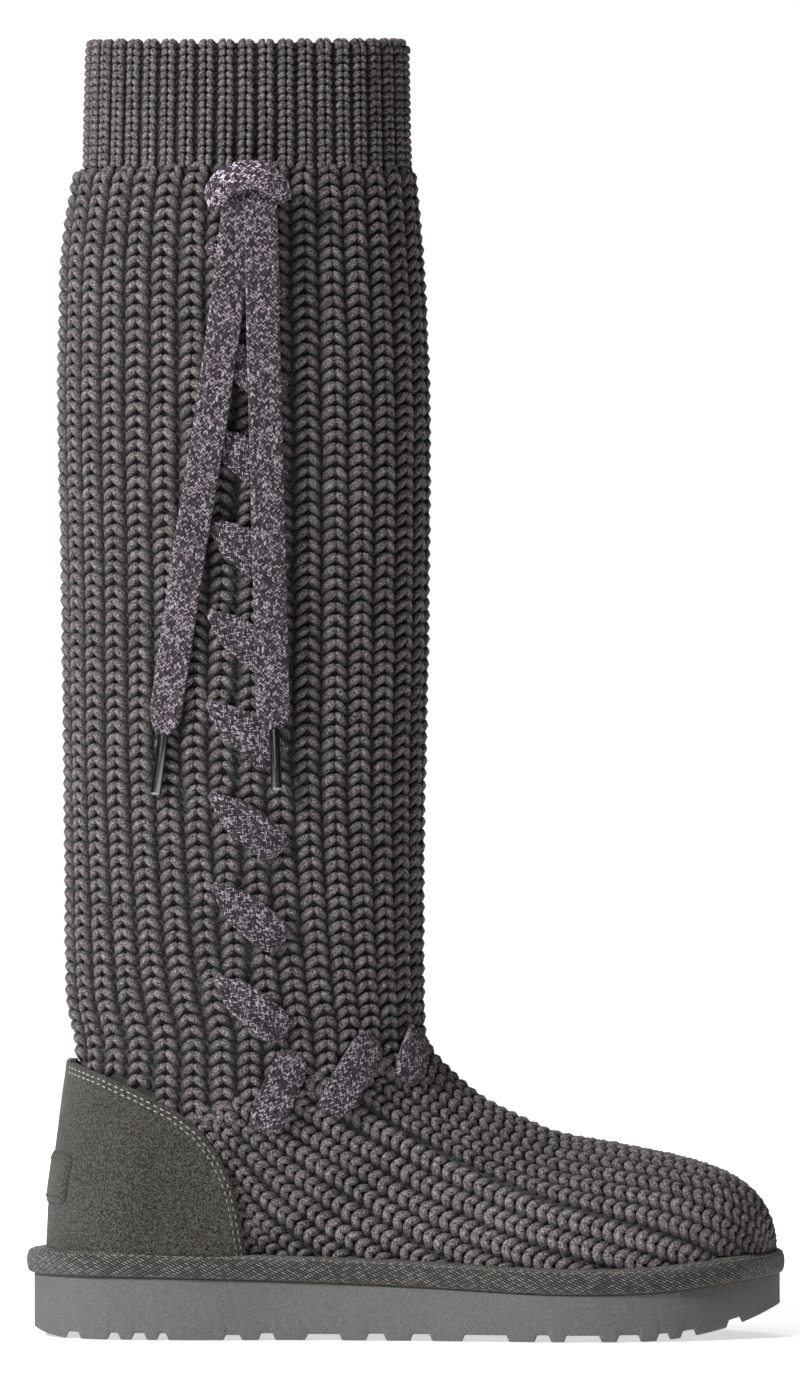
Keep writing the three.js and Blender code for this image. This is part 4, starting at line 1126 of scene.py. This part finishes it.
def make_binding():
    """The twill tape bound round the sole: a rounded band, a little uneven along its length."""
    plan = sole_outline(420)
    run = np.arange(len(plan)) * (2 * SOLE_LENGTH + BALL_WIDTH) / len(plan)
    swell = 0.12 * np.sin(run / 17) + 0.08 * np.sin(run / 6.3 + 1)
    face = [  # inward, up, as shares of the height
        (0.62, 1.02), (0.42, 1.0), (0.28, 0.985), (0.16, 0.93), (0.08, 0.84), (0.03, 0.72), (0.005, 0.58),
        (0.0, 0.43), (0.012, 0.28), (0.04, 0.14), (0.09, 0.03), (0.17, -0.02), (0.6, -0.02),
    ]
    rings = []
    for inward, up in face:
        out = binding_overhang(plan) - inward * BINDING_HEIGHT + swell * (inward < 0.3)
        rings.append(sole_ring(plan, out, BINDING_REST + up * BINDING_HEIGHT))
    for up in (BINDING_REST, 0.95 * BINDING_HEIGHT):
        rings.append(sole_ring(plan, -7.0, up))
    rings = np.array(rings)
    uv = np.stack([np.tile(run, len(rings)), np.repeat(run_of(rings[:, 0]), len(plan))], 1)
    faces = [grid_faces(len(rings), len(plan), looped=True)]
    body("binding_tape", rings, faces, TWILL, ("binding",), "binding_tape", uv=uv)


def binding_seam():
    """The line of stitches that holds the tape, just under its upper fold."""
    plan = sole_outline(420)
    out = binding_overhang(plan) - 0.095 * BINDING_HEIGHT
    point = sole_ring(plan, out, BINDING_REST + 0.86 * BINDING_HEIGHT)
    normal = unit(np.column_stack([plan_normals(plan), np.full(len(plan), 0.45)]))
    thread_stitches("binding_seam", [(point, normal)], 1.9, 3.1, 0.24, 0.12, PALE_THREAD)


def make_insole():
    """Short wool pile over the insole: a cushion with a curly top, inside the knit and over the foam."""
    count, levels = 180, 34
    plan = footprint(count)
    plan = plan - plan_normals(plan) * (KNIT_WALL + 1.5)
    middle = np.stack([plan[:, 0] * 0.86, np.interp(plan[:, 0], (-120, 120), (0.5, -0.5))], 1)
    rings = []
    for t in np.concatenate([[0.0, 0.0], np.linspace(0, 1, levels) ** 0.8]):
        spot = plan + (middle - plan) * t
        rings.append(np.column_stack([spot, sole_top(spot[:, 0])]))
    rings = np.array(rings)
    rings[0, :, 2] += 0.8
    rings[1, :, 2] += 3.6
    curls = RNG.normal(0, 0.45, rings.shape[:2])
    curls = (curls + np.roll(curls, 1, 1) + np.roll(curls, 1, 0)) / 1.7
    edge = np.minimum(np.arange(levels), 4)[:, None] / 4
    rings[2:, :, 2] += 5.0 + 0.9 * np.sqrt(edge) + np.clip(curls[2:], -0.9, 0.9)
    tube("insole_wool", rings, WOOL, ("insole",), "wool", caps=(0,))


# Heel counter and label

def thread_stitches(name, lines, length, pitch, radius, lift, material):
    """Short raised stitches along lines of (point, normal)."""
    parts = []
    for point, normal in lines:
        run = run_of(point)
        spots = np.arange(pitch * 0.6, run[-1] - length / 2, pitch)
        at = read_line(spots, run, point)
        out = unit(read_line(spots, run, normal))
        way = unit(read_line(spots + 0.5, run, point) - at)
        parts.append((at + out * lift, np.cross(out, way), out, np.ones(len(at)), np.ones(len(at))))
    thread = bump_template(length / 2, radius, radius)
    set_stitches(name, join(parts), thread, material, 1, 1, (1,), jitter=0.3)


def make_counter():
    """The suede panel: level lines from its edge on one side, round the heel, to its edge on the other."""
    count = 121
    heights = np.concatenate([np.linspace(0, 0.94, 38, endpoint=False), np.linspace(0.94, 1, 8)])
    skin, under = [], []
    for z in COUNTER_BASE + (COUNTER_TOP - COUNTER_BASE) * heights:
        x = max(counter_edge_x(z), COUNTER_BACK)
        turns = np.linspace(*(place_at(x, z, side)[1][0] for side in (-1, 1)), count)
        point, normal, _ = axes_at(level_rows(turns, z), turns)
        skin.append(point + normal * (COUNTER_LIFT + COUNTER_THICKNESS))
        under.append(point - normal * 1.2)
    skin, under = np.array(skin), np.array(under)
    normal = unit(skin - under)
    edge = np.minimum(np.arange(count), np.arange(count)[::-1])
    rolled = np.where(edge == 0, 0.75, np.where(edge == 1, 0.18, 0.0))
    skin -= normal * rolled[None, :, None]
    skin[-1] -= normal[-1] * 0.75
    skin[-2] -= normal[-2] * 0.18
    shell("heel_counter_suede", skin, under, SUEDE, ("heel_counter",), "suede")


def edge_line(inset):
    """(x, z) along the front edge of the counter, a little inside it, from the sole up to the back."""
    edge = COUNTER_EDGE[COUNTER_EDGE[:, 0] > -122.5]
    low = sole_top(edge[0, 0]) + BINDING_HEIGHT * 0.9
    dense = resample(np.vstack([edge, (-121.0, 99.0)]), 200)
    dense = dense[dense[:, 1] > low]
    way = unit(np.gradient(dense, axis=0))
    moved = dense + np.stack([-way[:, 1], way[:, 0]], 1) * inset
    return resample(moved[moved[:, 0] > -120.0], 90)


def counter_seams():
    for name, inset in (("counter_seam_outer", 1.7), ("counter_seam_inner", 3.4)):
        lines = []
        for side in (-1, 1):
            point, normal, _ = axes_at(*place_at(*edge_line(inset).T, side))
            lines.append((point + normal * (COUNTER_LIFT + COUNTER_THICKNESS), normal))
        thread_stitches(name, lines, 1.75, 2.85, 0.24, 0.06, PALE_THREAD)


def make_label():
    """The bare suede patch on the back of the heel, with a line of stitches round its border."""
    count, levels = 41, 17
    turns = np.linspace(0.5 - 0.075, 0.5 + 0.075, 400)
    from_side = np.minimum(np.arange(count), np.arange(count)[::-1])
    grid, outs, lifts = [], [], []
    for v in np.linspace(-1, 1, levels):
        line, normal, _ = axes_at(level_rows(turns, LABEL_CENTRE + v * LABEL_HEIGHT / 2), turns)
        run = run_of(line)
        drop = max(0.0, LABEL_CORNER - (1 - abs(v)) * LABEL_HEIGHT / 2)
        half = LABEL_WIDTH / 2 - (LABEL_CORNER - math.sqrt(max(LABEL_CORNER**2 - drop**2, 0)))
        spots = np.interp(0.0, line[:, 1], run) + np.linspace(-half, half, count)
        edge = np.minimum(from_side, round((1 - abs(v)) * (levels - 1) / 2))
        grid.append(read_line(spots, run, line))
        outs.append(unit(read_line(spots, run, normal)))
        lifts.append(np.where(edge == 0, 0.35, np.where(edge == 1, 0.85, LABEL_THICKNESS)))
    grid, outs = np.array(grid), np.array(outs)
    skin = grid + outs * (COUNTER_LIFT + COUNTER_THICKNESS + np.array(lifts))[..., None]
    under = grid + outs * (COUNTER_THICKNESS - 0.3)
    shell("heel_label_suede", skin, under, LABEL_SUEDE, ("heel_label",), "suede_label")
    top = grid + outs * (COUNTER_LIFT + COUNTER_THICKNESS + LABEL_THICKNESS)
    inner = slice(2, -2)
    border = [(top[line], outs[line]) for line in ((2, inner), (-3, inner), (inner, 2), (inner, -3))]
    thread_stitches("heel_label_seam", border, 1.7, 2.4, 0.28, 0.05, DARK_THREAD)


# Lace

def ribbon(name, points, normals, widths, thickness, material, replaces, start):
    """A flat lace along points, its width across normals, with rounded edges. Its yarns start at start."""
    way = unit(np.gradient(points, axis=0))
    across = unit(np.cross(normals, way))
    normals = unit(np.cross(way, across))
    over = [(t * 0.97, 0.5 * thickness * (1 - 0.25 * abs(t) ** 3)) for t in np.linspace(-1, 1, 9)]
    edges = [(1.0, 0.18 * thickness), (1.0, -0.18 * thickness)]
    outline = np.array(over + edges + [(-t, -h) for t, h in over + edges])
    flat = widths[:, None] / 2 * outline[:, 0]
    rings = points[:, None] + across[:, None] * flat[..., None] + normals[:, None] * outline[:, 1:]
    lower = np.where(outline[:, 1] < 0, 30.0, 0.0)
    uv = np.stack([np.broadcast_to((start + run_of(points))[:, None], flat.shape), flat + 50 + lower], -1)
    return tube(name, rings, material, replaces, "lace", uv=uv.reshape(-1, 2))


def smooth_line(knots, count):
    """A smooth open curve through knots, evenly spaced."""
    ends = np.vstack([2 * knots[0] - knots[1], knots, 2 * knots[-1] - knots[-2]])
    t = np.linspace(0, 1, 16, endpoint=False)[:, None]
    parts = [spline(*ends[i - 1:i + 3], t) for i in range(1, len(ends) - 2)]
    return resample(np.vstack(parts + [ends[-2][None]]), count)


def lace_bars():
    """Each stitch of the lace: it comes out of the knit, crosses the columns and goes in again. The upper
    end of a side stitch is drawn together, the lower one is broad."""
    bars = [(f"lace_side_stitch_{i + 1}", -1, np.array((a, b)), np.array((c, d)), SIDE_STITCH_SHAPE)
            for i, (a, b, c, d) in enumerate(SIDE_STITCHES)]
    for side, word in ((-1, "outer"), (1, "inner")):
        for i, (top, foot) in enumerate(ANKLE_STITCHES):
            bars.append((f"lace_ankle_{word}_{i + 1}", side, FOOT_SHARE * top, FOOT_SHARE * foot,
                         ANKLE_STITCH_SHAPE))
    for k, (name, side, top, foot, shape) in enumerate(bars):
        length = np.linalg.norm(foot - top)
        reach = 2.2 / length
        t = np.linspace(-reach, 1 + reach, 34)
        spots = top + (foot - top) * t[:, None]
        point, normal, _ = axes_at(*place_at(*spots.T, side))
        from_end = np.minimum(t + reach, 1 + reach - t) * length
        inside = np.clip(t, 0, 1)
        sink = 4.2 * np.clip(1 - from_end / 3.0, 0, 1) ** 1.5
        lift = 1.0 + 0.6 * np.sin(math.pi * inside) - sink
        widths = LACE_WIDTH * read_table(shape, inside)
        ribbon(name, point + normal * lift[:, None], normal, widths, LACE_THICKNESS, BRAID, (name,), 37.0 * k)


def lace_route(route, count):
    """Points and normals along a loose end, off the knit by the layers it lies over."""
    line = smooth_line(route, count)
    point, normal, _ = axes_at(*place_at(line[:, 0], line[:, 1], -1))
    lift = LACE_LIFT + line[:, 2] * LACE_LAYER + LACE_THICKNESS / 2
    return point + normal * lift[:, None], normal


def lace_ends():
    for name, route, tip, fall, start in (("back", BACK_END_ROUTE, BACK_AGLET, 0.045, 400.0),
                                          ("front", FRONT_END_ROUTE, FRONT_AGLET, 0.03, 700.0)):
        point, normal = lace_route(route, 90)
        t = np.linspace(0, 1, len(point))
        widths = LACE_WIDTH * (1 - 0.78 * np.clip((t - 1 + fall) / fall, 0, 1) ** 2)
        piece = ribbon(f"lace_loose_{name}", point, normal, widths, LACE_THICKNESS, BRAID,
                       (f"lace_end_{name}",), start)
        target, out, _ = axes_at(*place_at(*tip, -1))
        lift = LACE_LIFT + route[-1, 2] * LACE_LAYER + AGLET_DIAMETER / 2
        way = unit(target[0] + out[0] * lift - point[-1])
        metal = aglet(f"aglet_metal_{name}", point[-1] - way * 1.0, way, (f"aglet_{name}",))
        path = put(point)


def aglet(name, start, way, replaces):
    """A plain metal tube, crimped a little at its upper end."""
    side = unit(np.cross(way, (0, -1, 0)))
    other = np.cross(way, side)
    profile = [(0.0, 0.80), (0.25, 0.97), (0.8, 1.0), (AGLET_LENGTH / 2, 0.985), (AGLET_LENGTH - 1.0, 1.0),
               (AGLET_LENGTH - 0.3, 0.97), (AGLET_LENGTH, 0.82)]
    angle = np.arange(24)[:, None] * math.pi / 12
    round_it = AGLET_DIAMETER / 2 * (np.cos(angle) * side + np.sin(angle) * other)
    rings = np.array([start + way * along + share * round_it for along, share in profile])
    return tube(name, rings, METAL, replaces, "aglet", sharp=40)


def lace_knot():
    """The lace's plump arch above its two loose ends."""
    point, normal = lace_route(KNOT_ROUTE, 46)
    widths = 8.4 + 2.0 * np.sin(math.pi * np.linspace(0, 1, len(point)))
    # The arch's braid is brightened as painted light, for its upward face towards the key light.
    ribbon("lace_knot_arch", point, normal, widths, 4.0, LIT_KNOT_BRAID, ("lace_knot",), 900.0)


# Camera, light and floor

def make_camera():
    """The photograph's view of the outer side, level and from far away."""
    data = bpy.data.cameras.new("camera")
    camera = bpy.data.objects.new("camera", data)
    bpy.context.scene.collection.objects.link(camera)
    bpy.context.scene.camera = camera
    distance = 5450.0
    across = (PHOTO_WIDTH / 2 - PHOTO_MIDDLE) * PHOTO_SCALE
    up = (PHOTO_FLOOR - PHOTO_HEIGHT / 2) * PHOTO_SCALE
    target = Vector((across / 1000, 0, up / 1000))
    camera.location = (target.x, -distance / 1000, 0.335)
    camera.rotation_mode = "QUATERNION"
    camera.rotation_quaternion = (target - camera.location).to_track_quat("-Z", "Y")
    data.sensor_width = 36
    data.lens = data.sensor_width * distance / (PHOTO_HEIGHT * PHOTO_SCALE)
    data.clip_start, data.clip_end = 0.1, 50


def area_light(name, place, aim, size, power):
    data = bpy.data.lights.new(name, "AREA")
    data.shape = "RECTANGLE"
    data.size, data.size_y = size
    data.energy = power
    light = bpy.data.objects.new(name, data)
    light.location = place
    light.rotation_mode = "QUATERNION"
    light.rotation_quaternion = (Vector(aim) - Vector(place)).to_track_quat("-Z", "Y")
    bpy.context.scene.collection.objects.link(light)


def make_lights():
    """A soft key from the upper left, three fills, and a white background that throws little light of its
    own.
    """
    scene = bpy.context.scene
    scene.view_settings.view_transform = "Standard"
    scene.world = bpy.data.worlds.new("studio")
    scene.world.use_nodes = True
    nodes, links = scene.world.node_tree.nodes, scene.world.node_tree.links
    nodes["Background"].inputs["Color"].default_value = (1, 1, 1, 1)
    rays, level = nodes.new("ShaderNodeLightPath"), nodes.new("ShaderNodeMapRange")
    links.new(rays.outputs["Is Camera Ray"], level.inputs["Value"])
    level.inputs["To Min"].default_value, level.inputs["To Max"].default_value = 0.022, 1.05
    links.new(level.outputs[0], nodes["Background"].inputs["Strength"])
    area_light("key", (-2.07, -1.72, 2.0), (-0.02, 0, 0.2), (0.5, 0.5), 160)
    area_light("front", (-0.6, -2.6, 0.8), (0, 0, 0.2), (1.6, 1.2), 5)
    area_light("top", (-0.6, -0.4, 2.1), (0, 0, 0), (1.2, 1.2), 9)
    area_light("inner", (-0.3, 2.8, 1.3), (0, 0, 0.2), (1.2, 1.2), 45)


def make_floor():
    look = Look("studio_floor")
    tone = look.noise(look.place((2, 2, 2)), 1.0)
    look.skin.inputs["Emission Color"].default_value = (1, 1, 1, 1)
    look.finish(look.mix(tone, (0.9, 0.9, 0.9), (0.93, 0.93, 0.93)), 0.9, Emission_Strength=0.6)
    mesh = bpy.data.meshes.new("floor")
    side = 1.6
    corners = [(-side, -side, 0), (side, -side, 0), (side, side, 0), (-side, side, 0)]
    mesh.from_pydata(corners, [], [(0, 1, 2, 3)])
    mesh.materials.append(look.material)
    floor = bpy.data.objects.new("floor", mesh)
    floor.location.z = -0.0003
    bpy.context.scene.collection.objects.link(floor)


make_camera()
lace_ends()
lace_knot()
lace_bars()
make_ground()
make_knit()
make_cuff()
make_sole()
make_binding()
binding_seam()
make_counter()
counter_seams()
make_label()
make_insole()
make_lights()
make_floor()
